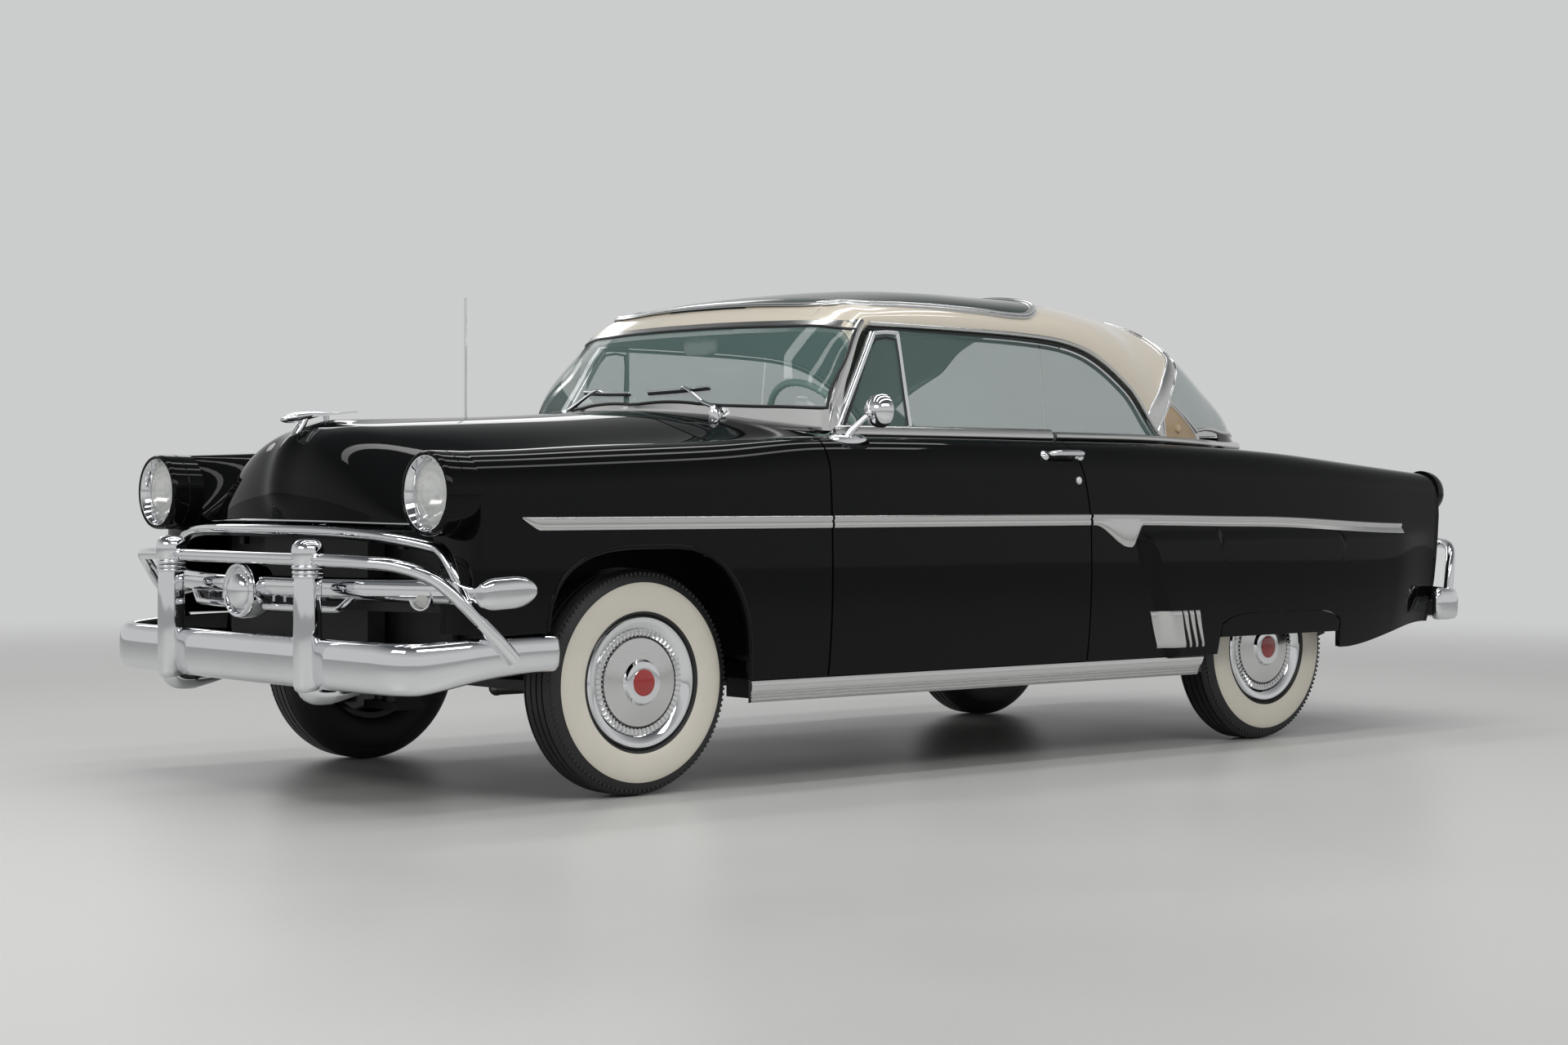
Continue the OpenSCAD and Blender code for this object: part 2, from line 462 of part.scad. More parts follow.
module fuel_tank() color("gray") translate([rear_axle_x - 880, 190 - rear_rail_y, 240])
    cube([420, 2 * rear_rail_y - 320, 155 - seat_gap]);

// Floor, sills, firewall, pillars and the inner walls round the seats and trunk
floor_rear_x = rear_axle_x + 640;
stop_j = 6 / 13;
stop_z = mix(panel_low_z + 4, belt_z - 11, stop_j);
stop_y = mix(side_y(door_rear_x, wide_z) - door_t, door_top_y, pow(stop_j, 2)) - 1.2 - seat_gap;
module body_floor() color("darkslategray") {
    difference() {
        union() {
            translate([floor_rear_x, -cabin_y - 2, 392]) cube([firewall_x - floor_rear_x, 2 * cabin_y + 4, 16]);
            translate([front_axle_x - 1180, -165, 392]) cube([firewall_x - front_axle_x + 1180, 330, 190]);
            translate([floor_rear_x, -90, 392]) cube([firewall_x - floor_rear_x, 180, 120]);
            translate([firewall_x, -cabin_y, 392]) cube([16, 2 * cabin_y, 618]);
            translate([floor_rear_x, -house_y, 392]) cube([16, 2 * house_y, 210]);
        }
        translate([front_axle_x - 1165, -150, 380]) cube([700, 300, 187]);
        translate([floor_rear_x - 20, -75, 380]) cube([firewall_x - floor_rear_x + 10, 150, 117]);
        translate([firewall_x - 10, column_y, column_hole_z]) rotate([0, 90, 0]) cylinder(r = 60, h = 40);
    }
    for (m = [0, 1]) mirror([0, m, 0]) {
        translate([rear_axle_x + 460, sill_y, sill_z]) cube([front_axle_x - 430 - rear_axle_x - 460, 180, 60]);
        translate([rear_axle_x + 460, sill_y, sill_z + 40]) cube([firewall_x - rear_axle_x - 460, 20, 96]);
        translate([pillar_x, cabin_y, sill_z + 50]) cube([pillar_l, 128, 690]);
        translate([pillar_x, sill_y, sill_z + 50]) cube([firewall_x + 16 - pillar_x, 17, 688]);
        translate([door_rear_x - 70, sill_y, sill_z + 50]) cube([60, 70, 690]);
        translate([door_rear_x - 70, sill_y + 10, stop_z - 30]) cube([120, 50, 60]);
        translate([door_rear_x + 30, sill_y + 50, stop_z]) rotate([-90, 0, 0]) cylinder(r = 12, h = stop_y - sill_y - 50);
        post_y = min(house_y - 22, half_w - 352);
        translate([rear_axle_x + 350, post_y, 700]) cube([60, max(half_w - 272, house_y) - post_y, 320]);
        translate([rear_axle_x - 420, house_y - 14, 590]) cube([850, 14, 140]);
        translate([rear_axle_x - 420, house_y - 14, 716]) cube([850, half_w - 80 - house_y, 14]);
        translate([rear_axle_x + 416, house_y - 14, 392]) cube([240, 14, 338]);
        hinge_arms();
    }
    translate([rear_axle_x - 940, -house_y, 586]) cube([1596, 2 * house_y, 16]);
    translate([rear_axle_x + 100, -house_y, 590]) cube([16, 2 * house_y, 330]);
    translate([rear_axle_x - 352, -house_y, 590]) cube([16, 30, 380]);
    translate([rear_axle_x - 352, house_y - 30, 590]) cube([16, 30, 380]);
    translate([rear_axle_x - 352, -house_y, 940]) cube([16, 2 * house_y, 60]);
}

// Upright panel round the radiator, with the inner aprons beside the engine
hood_stops = [[3, 2], [11, 2]];
module front_support() color("darkslategray") {
    difference() {
        translate([support_x, 292 - half_w, 450 + seat_gap]) cube([16, 2 * half_w - 584, 330]);
        translate([support_x - 5, 130 - rail_y, 460]) cube([30, 2 * rail_y - 260, 300]);
    }
    for (m = [0, 1]) mirror([0, m, 0]) {
        translate([firewall_x + 16 + seat_gap, rail_y + 8, 490]) cube([support_x - firewall_x - 10, 12, 290]);
        translate([support_x, rail_y - 30, 450 + seat_gap]) cube([16, 60, 60]);
        for (k = hood_stops) let (p = hood_in[k[0]][k[1]] + (8 + seat_gap) * normal(hood_g, k[0], k[1])) {
            translate(p) sphere(r = 8);
            translate([p[0], p[1], 740]) cylinder(r = 7, h = p[2] - 740);
            translate([p[0] - 10, rail_y + 9, 740]) cube([20, p[1] - rail_y, 24]);
        }
    }
}
function lip(v) = hood_point(8, v) - [0, 0, panel_gap + 6];
function mouth(v) = [front_axle_x + 842 - 185 * v * v, (half_w - 162) * v, 795 - 55 * pow(v, 4)];
module front_panel() color("black") {
    g = [for (i = [0:2]) [for (v = spread(1, -1, 16)) mix(lip(v), mouth(v), i / 2)]];
    sheet(g, moved(g, 14));
    for (m = [0, 1]) mirror([0, m, 0])
        translate([support_x + 16 + seat_gap, rail_y - 60, 700]) cube([260, 40, 100]);
}
// Chrome grille: a bar across with a middle bullet, end caps and the moulding over the opening
module grille() color("silver") {
    path = [for (v = spread(-1, 1, 20)) [front_axle_x + 850 - 225 * v * v, (half_w - 132) * v, 612]];
    bar([for (p = path) [for (q = [0:7]) p + [26 * cos(45 * q), 0, 34 * sin(45 * q)]]]);
    translate([front_axle_x + 838, 0, 612]) rotate([0, 90, 0]) sphere(r = 84);
    for (m = [0, 1]) mirror([0, m, 0])
        translate([support_x + 16 + seat_gap, rail_y - 110, 590]) cube([260, 40, 44]);
}
module front_lamps() color("white") for (m = [0, 1]) mirror([0, m, 0]) {
    translate([nose_x + 60, half_w - 144, 904]) rotate([0, 90, 0]) cylinder(r = 92, h = 48);
}
module headlamp_housings() color("black") for (m = [0, 1]) mirror([0, m, 0])
    translate([nose_x + seat_gap, half_w - 144, 904]) rotate([0, 90, 0]) difference() {
        cylinder(r = 121, h = 112);
        translate([0, 0, 30]) cylinder(r = 92 + seat_gap, h = 100);
        translate([0, 0, -1]) cylinder(r = 80, h = 100);
    }

// Bumpers: columns are y and the front face's x, for one half
BUMP = [[0, 898], [half_w - 632, 897], [half_w - 412, 895], [half_w - 252, 891], [half_w - 152, 878],
    [half_w - 80, 834], [half_w - 42, 742], [half_w - 28, 600], [half_w - 27, 380]];
function bump_side(s) = [at(BUMP_T, 1, s), at(BUMP_T, 2, s)];
BUMP_T = [for (i = [0:8]) [i, BUMP[i][0], BUMP[i][1]]];
function bump_ring(y, x, ny, nx) = [for (p = [[-38, 342], [-12, 340], [0, 380], [0, 450], [-12, 486], [-38, 484]])
    [x + p[0] * nx, y + p[0] * ny, p[1]]];
module front_bumper() color("silver") {
    half = spread(0, 8, 16);
    pts = concat([for (k = [16:-1:1]) let (b = bump_side(half[k])) [b[1], -b[0], 0]],
        [for (k = [0:16]) let (b = bump_side(half[k])) [b[1], b[0], 0]]);
    rings = [for (i = [0:len(pts) - 1]) let (t = tangent(pts, i), n = [t[1], -t[0]])
        bump_ring(pts[i][1], front_axle_x + pts[i][0], n[1], n[0])];
    difference() {
        union() {
            bar(rings);
            for (m = [0, 1]) mirror([0, m, 0])
                translate([front_axle_x + 800 + seat_gap, rail_y - 65, 370]) cube([70, 60, 70]);
            for (y = [-guard_y, guard_y])
                translate([guard_x - 30 - guard_plate[0], y - guard_plate[1] / 2, 370]) cube(guard_plate);
        }
        for (y = [-guard_y, guard_y]) translate([guard_x, y, 300]) cylinder(r = 41 + seat_gap, h = 300);
    }
}
// Round bar between two points
module rod(a, b, r) translate(a) rotate([0, acos((b - a)[2] / norm(b - a)), atan2((b - a)[1], (b - a)[0])])
    cylinder(r = r, h = norm(b - a));
guard_x = overall_l / 2 - 47;
guard_y = half_w - 526;
guard_z = 712;
guard_plate = [34, 140, 100];
guard_r = 21;
bend_r = 165;
bend_y = half_w - 272;
// Round tube over a bumper: across the middle, round the corners and down to the bumper's ends
module guard_tube(rear, foot) {
    translate([0, 0, guard_z]) rotate([90, 0, 0]) cylinder(r = guard_r, h = 2 * bend_y, center = true);
    for (m = [0, 1]) mirror([0, m, 0]) {
        translate([0, bend_y, guard_z]) sphere(r = guard_r + 1);
        translate([-bend_r, bend_y, guard_z]) rotate_extrude(angle = 75) translate([bend_r, 0]) circle(r = guard_r);
        corner = [bend_r * cos(75) - bend_r, bend_y + bend_r * sin(75), guard_z];
        translate(corner) sphere(r = guard_r + 1);
        rod(corner, rear, guard_r);
        translate(rear) sphere(r = guard_r + 1);
        rod(rear, foot, guard_r);
    }
}
module front_guard() color("silver") translate([guard_x, 0, 0]) {
    guard_tube([front_axle_x + 640 - guard_x, half_w - 86, 672], [front_axle_x + 526 - guard_x, half_w - 80, 510]);
    for (m = [0, 1]) mirror([0, m, 0]) {
        translate([0, guard_y, 326]) cylinder(r = 41, h = 404);
        translate([0, guard_y, 726]) sphere(r = 47);
    }
}
rear_guard_x = -overall_l / 2 + 47;
module rear_bumper() color("silver") difference() {
    union() {
        path = [for (v = spread(-1, 1, 20)) [rear_guard_x - 10 + 210 * v * v * v * v, (half_w - 52) * v, 480]];
        bar([for (p = path) [for (q = [[0, 60], [-34, 56], [-40, 0], [-34, -58], [0, -62]]) p + [q[0] + 30, 0, q[1]]]]);
        for (m = [0, 1]) mirror([0, m, 0])
            translate([rear_guard_x + 10, rear_rail_y - 65, 410])
                cube([rear_axle_x - 1000 - seat_gap - rear_guard_x - 10, 60, 60]);
        for (y = [-guard_y, guard_y])
            translate([rear_guard_x + 24, y - guard_plate[1] / 2, 430]) cube(guard_plate);
    }
    for (y = [-guard_y, guard_y]) translate([rear_guard_x, y, 300]) cylinder(r = 41 + seat_gap, h = 300);
}
module rear_guard() color("silver") translate([rear_guard_x, 0, 0]) mirror([1, 0, 0]) {
    guard_tube([-150, half_w - 100, 660], [-172, half_w - 92, 546]);
    for (m = [0, 1]) mirror([0, m, 0]) {
        translate([0, guard_y, 380]) cylinder(r = 41, h = 350);
        translate([0, guard_y, 726]) sphere(r = 47);
    }
}

column_y = half_w - 577;
wheel_c = [front_axle_x - 1100, column_y, 1095];
column_a = 30;
column_hole_z = wheel_c[2] - (firewall_x - wheel_c[0]) * tan(column_a);
module column_rod(r) translate(wheel_c) rotate([0, 90 + column_a, 0]) translate([0, 0, 20]) cylinder(r = r, h = 680);
module steering_column() color("black") column_rod(22);
module dashboard() color("darkgreen") {
    translate([front_axle_x - 800, 246 - half_w, 960])
        cube([firewall_x - front_axle_x + 800 - seat_gap, body_w - 492, 50]);
    difference() {
        translate([front_axle_x - 770, column_y - 45, 850]) cube([30, 90, 115]);
        column_rod(22 + seat_gap);
    }
}
module steering_wheel() color("darkseagreen") translate(wheel_c) rotate([0, 90 + column_a, 0]) {
    rotate_extrude($fn = 96) translate([208, 0]) circle(r = 12, $fn = 24);
    translate([0, 0, 3]) cylinder(r = 36, h = 17 - seat_gap);
    for (a = [0, 120, 240]) rotate([0, 0, a]) translate([0, -11, 1]) cube([203, 22, 7]);
}
module seat(x, z, w, back) {
    translate([x - 260, -w / 2, z + seat_gap]) cube([520, w, 150]);
    translate([x - 260, -w / 2, z + 110]) rotate([0, -14, 0]) cube([130, w, back]);
}
module front_seat() color("gray") {
    seat(front_axle_x - 1450, 512, body_w - 564, 420);
    for (y = [512 - half_w, half_w - 612]) translate([front_axle_x - 1690, y, 408 + seat_gap]) cube([480, 100, 110]);
}
module rear_seat() color("gray") seat(rear_axle_x + 500, 602, 2 * house_y - 44, 330);

module quarter_glass() color("lightblue") for (m = [0, 1]) mirror([0, m, 0]) {
    g = [for (i = [0:6]) [for (j = [0:4]) let (x0 = mix(door_rear_x + 70, rear_axle_x + 540, i / 6),
        ze = at(GLASS, 3, x0) - 16, ye = at(GLASS, 2, x0))
        [x0, mix(half_w - 166, ye - 4, j / 4), mix(belt_z - 2.6, ze, j / 4)]]];
    sheet(g, moved(g, -glass_t));
}
module door_glass(right) color("lightblue") mirrored(right) {
    g = [for (i = [0:8]) [for (j = [0:4]) let (
        f = mix(front_axle_x - 800, front_axle_x - 1020, j / 4), x = mix(f, door_rear_x + 80, i / 8),
        z = mix(belt_z - 3.4, min(roof_z - 170, at(GLASS, 3, x) - 18), j / 4))
        [x, mix(half_w - 166, half_w - 208, j / 4), z]]];
    sheet(g, moved(g, -glass_t));
}
module side_mirror() color("silver") {
    translate([front_axle_x - 815, half_w - 97, belt_z - 4]) rotate([-8, -48, 0]) cylinder(r = 9, h = 128);
    translate([front_axle_x - 905, half_w - 76, belt_z + 82]) rotate([0, -90, 0]) cylinder(r1 = 38, r2 = 55, h = 32);
}
skirt_low_z = 396;
module fender_skirts() color("black") for (m = [0, 1]) mirror([0, m, 0]) {
    g = [for (a = [0:20:180]) let (x = rear_arch_x - 0.985 * rear_arch_w * cos(a))
        [for (z = spread(skirt_low_z, rear_arch(x) - 1.2 - 5 * pow(abs(cos(a)), 6), 3))
            [x, side_y(x, z) - 1, z]]];
    sheet(g, moved(g, panel_t));
}
lid_stop = lid_in[11][6] - (8 + seat_gap) * normal(lid_g, 11, 6);
module tail_panel() color("black") {
    edge = tail_lean(column(tail_x, 412, 1, gap));
    k = len(edge) - 1;
    inner = [for (j = [0:k]) let (z = mix(412, 945, j / k)) [tail_x + lean(tail_x, z), half_w - 329, z]];
    for (m = [0, 1]) mirror([0, m, 0]) {
        g = shifted([edge, inner], [-seat_gap, 0, 0]);
        sheet(g, shifted(g, [-20, 0, 0]));
        translate([rear_axle_x - 1036, half_w - 328, 484]) cube([120, 20, 126]);
    }
    translate([rear_axle_x - 1040, 312 - half_w, 484]) cube([20, 2 * half_w - 624, 126]);
    translate(lid_stop) sphere(r = 8);
    translate([lid_stop[0], 0, 580]) cylinder(r = 7, h = lid_stop[2] - 580);
    translate([rear_axle_x - 1024, -10, 570]) cube([lid_stop[0] + 8 - rear_axle_x + 1024, 20, 30]);
}
module tail_lamps() color("red") for (m = [0, 1]) mirror([0, m, 0])
    translate([tail_x - 20 - 2 * seat_gap - 50, half_w - 162, 911]) rotate([0, 90, 0]) cylinder(r = 70, h = 50);
antenna_p = crown(front_axle_x - 452, 90);
module antenna() color("silver") translate([antenna_p[0], -antenna_p[1], antenna_p[2] + 12 + seat_gap]) {
    sphere(r = 12);
    cylinder(r = 5, h = 505);
}
ornament_p = hood_g[10][8];
module hood_ornament() color("silver") translate(ornament_p + (9 + seat_gap) * [0.2, 0, 0.98]) {
    sphere(r = 9);
    cylinder(r = 8, h = 30);
    translate([-110, 0, 34]) rotate([0, 92, 0]) cylinder(r1 = 6, r2 = 13, h = 230);
}

// Tyre and wheel, standing on the axle along Y with the outer face to +Y
function arc(c, rx, ry, a, b, n) = [for (t = spread(a, b, n)) c + [rx * cos(t), ry * sin(t)]];
side_r = (tyre_d - rim_d) / 4;
tyre_half = concat(arc([rim_d / 2 + side_r, 20], side_r, tyre_w / 2 - 20, 180, 90, 5),
    arc([tyre_d / 2 - 46, tyre_w / 2 - 40], 42, 34, 60, 8, 4), [[tyre_d / 2, 0]]);
module tyre_at(x, y, right) color("black") mirrored(right) translate([x, y, axle_z]) rotate([-90, 0, 0])
    rotate_extrude($fn = 96) polygon(concat([for (i = [0:len(tyre_half) - 2]) let (p = tyre_half[i]) [p[0], -p[1]]],
        [for (i = [len(tyre_half) - 1:-1:0]) tyre_half[i]]));
// The hub's face clears the knuckle's flange
function hub_face(track) = max(-20, kingpin_y + flange_h + 1 - track / 2);
module wheel_at(x, y, right, hub) color("silver") mirrored(right) translate([x, y, axle_z]) rotate([-90, 0, 0])
    rotate_extrude($fn = 96) polygon([
        [22.3, hub], [60, hub], [70, hub + 35], [rim_d / 2 - 20, hub + 35], [rim_d / 2 - 20, -tyre_w / 2 + 22],
        [rim_d / 2 - seat_gap, -tyre_w / 2 + 20], [rim_d / 2 - seat_gap, tyre_w / 2 - 18],
        [rim_d / 2 - 8, tyre_w / 2 - 12], [rim_d / 2 - 20, tyre_w / 2 - 16], [cap_d / 2 + 20, tyre_w / 2 - 30],
        [cap_d / 2, tyre_w / 2 - 22], [68, tyre_w / 2 - 12], [63, tyre_w / 2 - 2], [22.3, tyre_w / 2 + 2]]);

chassis_frame();
front_suspension();
engine();
radiator();
rear_axle();
leaf_springs();
exhaust();
fuel_tank();
body_floor();
front_support();
front_panel();
grille();
front_bumper();
front_guard();
rear_bumper();
rear_guard();
front_fender(false);  // front_fender_left
front_fender(true);  // front_fender_right
headlamp_housings();
front_lamps();
cowl();
dashboard();
steering_column();
front_seat();
rear_seat();
windshield_frame();
windshield();
roof();
roof_glass();
backlight();
quarter_glass();
quarter(false);  // quarter_left
quarter(true);  // quarter_right
fender_skirts();
rear_deck();
tail_panel();
tail_lamps();
antenna();
hood();
hood_ornament();
trunk_lid();
door(false);  // door_left
door(true);  // door_right
door_glass(false);  // door_glass_left
door_glass(true);  // door_glass_right
side_mirror();  // mirror
knuckle(false);  // knuckle_left
knuckle(true);  // knuckle_right
steering_wheel();
tyre_at(front_axle_x, front_track / 2, false);  // tyre_front_left
tyre_at(front_axle_x, front_track / 2, true);  // tyre_front_right
tyre_at(rear_axle_x, rear_track / 2, false);  // tyre_rear_left
tyre_at(rear_axle_x, rear_track / 2, true);  // tyre_rear_right
wheel_at(front_axle_x, front_track / 2, false, hub_face(front_track));  // wheel_front_left
wheel_at(front_axle_x, front_track / 2, true, hub_face(front_track));  // wheel_front_right
wheel_at(rear_axle_x, rear_track / 2, false, -20);  // wheel_rear_left
wheel_at(rear_axle_x, rear_track / 2, true, -20);  // wheel_rear_right
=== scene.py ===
"""Looks of a two-door hardtop car of the 1950s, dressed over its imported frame, in metres."""
import logging
import math
from collections.abc import Sequence
from dataclasses import dataclass
from enum import Enum

import bmesh
import bpy
import numpy as np
from mathutils import Matrix, Vector


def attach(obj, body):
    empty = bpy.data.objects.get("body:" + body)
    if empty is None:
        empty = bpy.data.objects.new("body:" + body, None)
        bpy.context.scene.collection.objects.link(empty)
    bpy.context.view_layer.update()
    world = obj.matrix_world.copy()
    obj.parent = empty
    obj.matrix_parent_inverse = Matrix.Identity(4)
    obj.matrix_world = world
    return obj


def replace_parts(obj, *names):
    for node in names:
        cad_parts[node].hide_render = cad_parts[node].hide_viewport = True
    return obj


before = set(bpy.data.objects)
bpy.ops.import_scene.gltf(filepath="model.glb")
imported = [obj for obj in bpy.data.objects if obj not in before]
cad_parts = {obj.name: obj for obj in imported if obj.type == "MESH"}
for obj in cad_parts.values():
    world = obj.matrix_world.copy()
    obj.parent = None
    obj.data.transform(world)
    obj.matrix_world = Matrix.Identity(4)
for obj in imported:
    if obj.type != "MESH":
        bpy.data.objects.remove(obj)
LOG = logging.getLogger("car")

Array = np.ndarray
Part = tuple[Array, list[tuple[int, ...]]]
Colour = tuple[float, float, float]

# x of the front and rear axle, half width, then heights, gaps, panel joints and the places of the guards.
FX = 1.630
RX = -1.304
HALF_W = 0.932
BELT = 1.088
ROOF = 1.608
SILL = 0.272
AXLE = 0.341
GAP = 0.0035
WIDE_Z = 0.640
DOOR_FRONT = FX - 0.682
DOOR_REAR = RX + 1.070
NOSE = FX + 0.640
TAIL = RX - 0.950
COWL = FX - 0.430
DOOR_LOW = 0.335
GUARD_X = 2.528
GUARD_Y = 0.406
GUARD_TUBE = 0.0185
POST_R = 0.0405
SHIELD_FOOT = FX - 0.5895
SHIELD_HALF = 0.787
DRIVER_Y = 0.355
HUB_Z = 0.700
COAT_ROUGH = 0.02
RELIEF = 0.001
MERGE = 2e-5
TINY = 1e-9
UP = np.array([0.0, 0.0, 1.0])
POST_CAP = ((0.0, 0.7725), (0.018, 0.7715), (0.033, 0.7660), (0.044, 0.7540), (0.0468, 0.7400), (0.0468, 0.7200),
            (0.0440, 0.7080), (0.0400, 0.7010), (0.0385, 0.6900))


class Side(Enum):
    """The two sides of the car, as the sign of y."""

    LEFT = 1
    RIGHT = -1

    @property
    def word(self) -> str:
        """Name of the side as the frame's nodes use it."""
        return self.name.lower()


class Grain(Enum):
    """What the fine pattern of a finish looks like."""

    PEEL = "peel"
    POLISH = "polish"
    BRUSH = "brush"
    ROUGH = "rough"
    WEAVE = "weave"
    CLEAR = "clear"
    FLUTE = "flute"
    MOTTLE = "mottle"


@dataclass(frozen=True)
class Finish:
    """One procedural finish: base colour, gloss and the grain that breaks it up."""

    name: str
    colour: Colour
    rough: float
    grain: Grain
    metal: float = 0.0
    scale: float = 60.0
    bump: float = 0.0
    spread: float = 0.03
    shade: float = 0.08
    coat: float = 0.0
    alpha: float = 1.0
    ior: float = 1.5
    gloss: float = 0.5
    slot: str = "chrome"

    def make(self) -> bpy.types.Material:
        """Builds the node tree once and hands the same material out afterwards."""
        made = bpy.data.materials.get(self.name)
        if made:
            return made
        made = bpy.data.materials.new(self.name)
        made.use_nodes = True
        made.diffuse_color = (*self.colour, 1.0)
        tree = made.node_tree
        tree.nodes.clear()
        out = tree.nodes.new("ShaderNodeOutputMaterial")
        face = tree.nodes.new("ShaderNodeBsdfPrincipled")
        tree.links.new(face.outputs["BSDF"], out.inputs["Surface"])
        for socket, level in (("Metallic", self.metal), ("IOR", self.ior), ("Specular IOR Level", self.gloss),
                              ("Coat Weight", self.coat), ("Coat Roughness", COAT_ROUGH), ("Alpha", self.alpha)):
            face.inputs[socket].default_value = level
        value = self._pattern(tree)
        tone = tree.nodes.new("ShaderNodeMapRange")
        tone.inputs["To Min"].default_value = max(self.rough - self.spread, 0.0)
        tone.inputs["To Max"].default_value = min(self.rough + self.spread, 1.0)
        tree.links.new(value, tone.inputs["Value"])
        tree.links.new(tone.outputs["Result"], face.inputs["Roughness"])
        ramp = tree.nodes.new("ShaderNodeValToRGB")
        for stop, side in zip(ramp.color_ramp.elements, (1.0 - self.shade, 1.0 + self.shade)):
            stop.color = (*[min(c * side, 1.0) for c in self.colour], 1.0)
        tree.links.new(value, ramp.inputs["Fac"])
        tree.links.new(ramp.outputs["Color"], face.inputs["Base Color"])
        if self.bump:
            relief = tree.nodes.new("ShaderNodeBump")
            relief.inputs["Strength"].default_value = self.bump
            relief.inputs["Distance"].default_value = RELIEF
            tree.links.new(value, relief.inputs["Height"])
            tree.links.new(relief.outputs["Normal"], face.inputs["Normal"])
        return made

    def _pattern(self, tree: bpy.types.NodeTree) -> bpy.types.NodeSocket:
        """Adds the grain's texture nodes, in object coordinates.

        Args:
            tree: node tree of the material.

        Returns:
            The socket that carries the grain as a value from 0 to 1.
        """
        place = tree.nodes.new("ShaderNodeTexCoord")
        turn = tree.nodes.new("ShaderNodeMapping")
        tree.links.new(place.outputs["Object"], turn.inputs["Vector"])
        stretch = {Grain.BRUSH: (0.05, 1.0, 1.0), Grain.FLUTE: (1.0, 1.0, 0.0)}.get(self.grain, (1.0, 1.0, 1.0))
        turn.inputs["Scale"].default_value = [self.scale * s for s in stretch]
        if self.grain in (Grain.WEAVE, Grain.FLUTE):
            tex = tree.nodes.new("ShaderNodeTexWave")
            tex.inputs["Scale"].default_value = 1.0
            tex.inputs["Distortion"].default_value = 0.4 if self.grain is Grain.WEAVE else 0.0
            tree.links.new(turn.outputs["Vector"], tex.inputs["Vector"])
            return tex.outputs["Fac"]
        tex = tree.nodes.new("ShaderNodeTexNoise")
        tex.inputs["Scale"].default_value = 1.0
        tex.inputs["Detail"].default_value = 5.0 if self.grain in (Grain.ROUGH, Grain.MOTTLE) else 2.0
        tree.links.new(turn.outputs["Vector"], tex.inputs["Vector"])
        return tex.outputs["Fac"]


PAINT = Finish("gloss_black", (0.0045, 0.0047, 0.005), 0.035, Grain.PEEL, scale=9.0, spread=0.012, gloss=0.13,
               slot="black_paint")
CREAM = Finish("cream_enamel", (0.66, 0.60, 0.50), 0.14, Grain.PEEL, scale=12.0, spread=0.03, coat=0.6, shade=0.02,
               slot="cream_paint")
CHROME = Finish("bright_chrome", (0.80, 0.81, 0.83), 0.05, Grain.POLISH, metal=1.0, scale=5.0, spread=0.025,
                shade=0.03)
STEEL = Finish("stainless_trim", (0.66, 0.66, 0.65), 0.17, Grain.BRUSH, metal=1.0, scale=420.0, spread=0.06)
GLASS = Finish("tinted_glass", (0.20, 0.33, 0.31), 0.015, Grain.CLEAR, scale=6.0, spread=0.008, alpha=0.22, ior=1.8,
               slot="window_glass")
TINT = Finish("green_roof_panel", (0.010, 0.035, 0.024), 0.03, Grain.CLEAR, scale=6.0, spread=0.012, alpha=0.80,
              slot="roof_tint")
LENS = Finish("fluted_lens", (0.85, 0.87, 0.86), 0.04, Grain.FLUTE, scale=55.0, spread=0.03, bump=0.5, alpha=0.34,
              ior=1.8, slot="lamp_glass")
MIRROR = Finish("lamp_mirror", (0.88, 0.87, 0.84), 0.12, Grain.POLISH, metal=1.0, scale=70.0, spread=0.06)
RED = Finish("red_lens", (0.42, 0.010, 0.008), 0.08, Grain.FLUTE, scale=60.0, spread=0.04, bump=0.3, coat=0.6,
             slot="red_lens")
AMBER = Finish("parking_lens", (0.80, 0.80, 0.76), 0.10, Grain.FLUTE, scale=80.0, spread=0.05, bump=0.4, alpha=0.7,
               slot="lamp_glass")
RED_DISC = Finish("red_cover_disc", (0.36, 0.012, 0.012), 0.12, Grain.PEEL, scale=40.0, coat=0.8)
RUBBER = Finish("tyre_rubber_black", (0.016, 0.016, 0.017), 0.52, Grain.ROUGH, scale=160.0, spread=0.12, bump=0.25,
                shade=0.3, slot="tyre_rubber")
WHITEWALL = Finish("whitewall_rubber", (0.74, 0.70, 0.61), 0.48, Grain.MOTTLE, scale=16.0, spread=0.08, bump=0.05,
                   shade=0.05)
SEAL = Finish("black_seal", (0.010, 0.010, 0.011), 0.42, Grain.ROUGH, scale=220.0, spread=0.1, bump=0.2,
              slot="tyre_rubber")
RIM = Finish("wheel_enamel", (0.012, 0.012, 0.013), 0.22, Grain.PEEL, scale=30.0, spread=0.05, coat=0.4)
FRAME = Finish("frame_enamel", (0.012, 0.012, 0.012), 0.45, Grain.ROUGH, scale=70.0, spread=0.18, bump=0.2,
               shade=0.35, slot="frame_paint")
IRON = Finish("engine_enamel", (0.030, 0.075, 0.062), 0.35, Grain.ROUGH, scale=60.0, spread=0.12, bump=0.2,
              shade=0.2, slot="engine_paint")
PIPE = Finish("exhaust_pipe", (0.33, 0.31, 0.29), 0.42, Grain.MOTTLE, metal=0.9, scale=24.0, spread=0.15, shade=0.3)
TANK = Finish("tank_steel", (0.20, 0.20, 0.20), 0.5, Grain.MOTTLE, metal=0.7, scale=20.0, spread=0.12, shade=0.25)
CORE = Finish("radiator_core", (0.02, 0.02, 0.021), 0.5, Grain.WEAVE, scale=120.0, spread=0.1, bump=0.8, shade=0.5)
CLOTH = Finish("seat_cloth_grey", (0.16, 0.19, 0.17), 0.85, Grain.WEAVE, scale=260.0, spread=0.08, bump=0.3,
               shade=0.18, slot="seat_cloth")
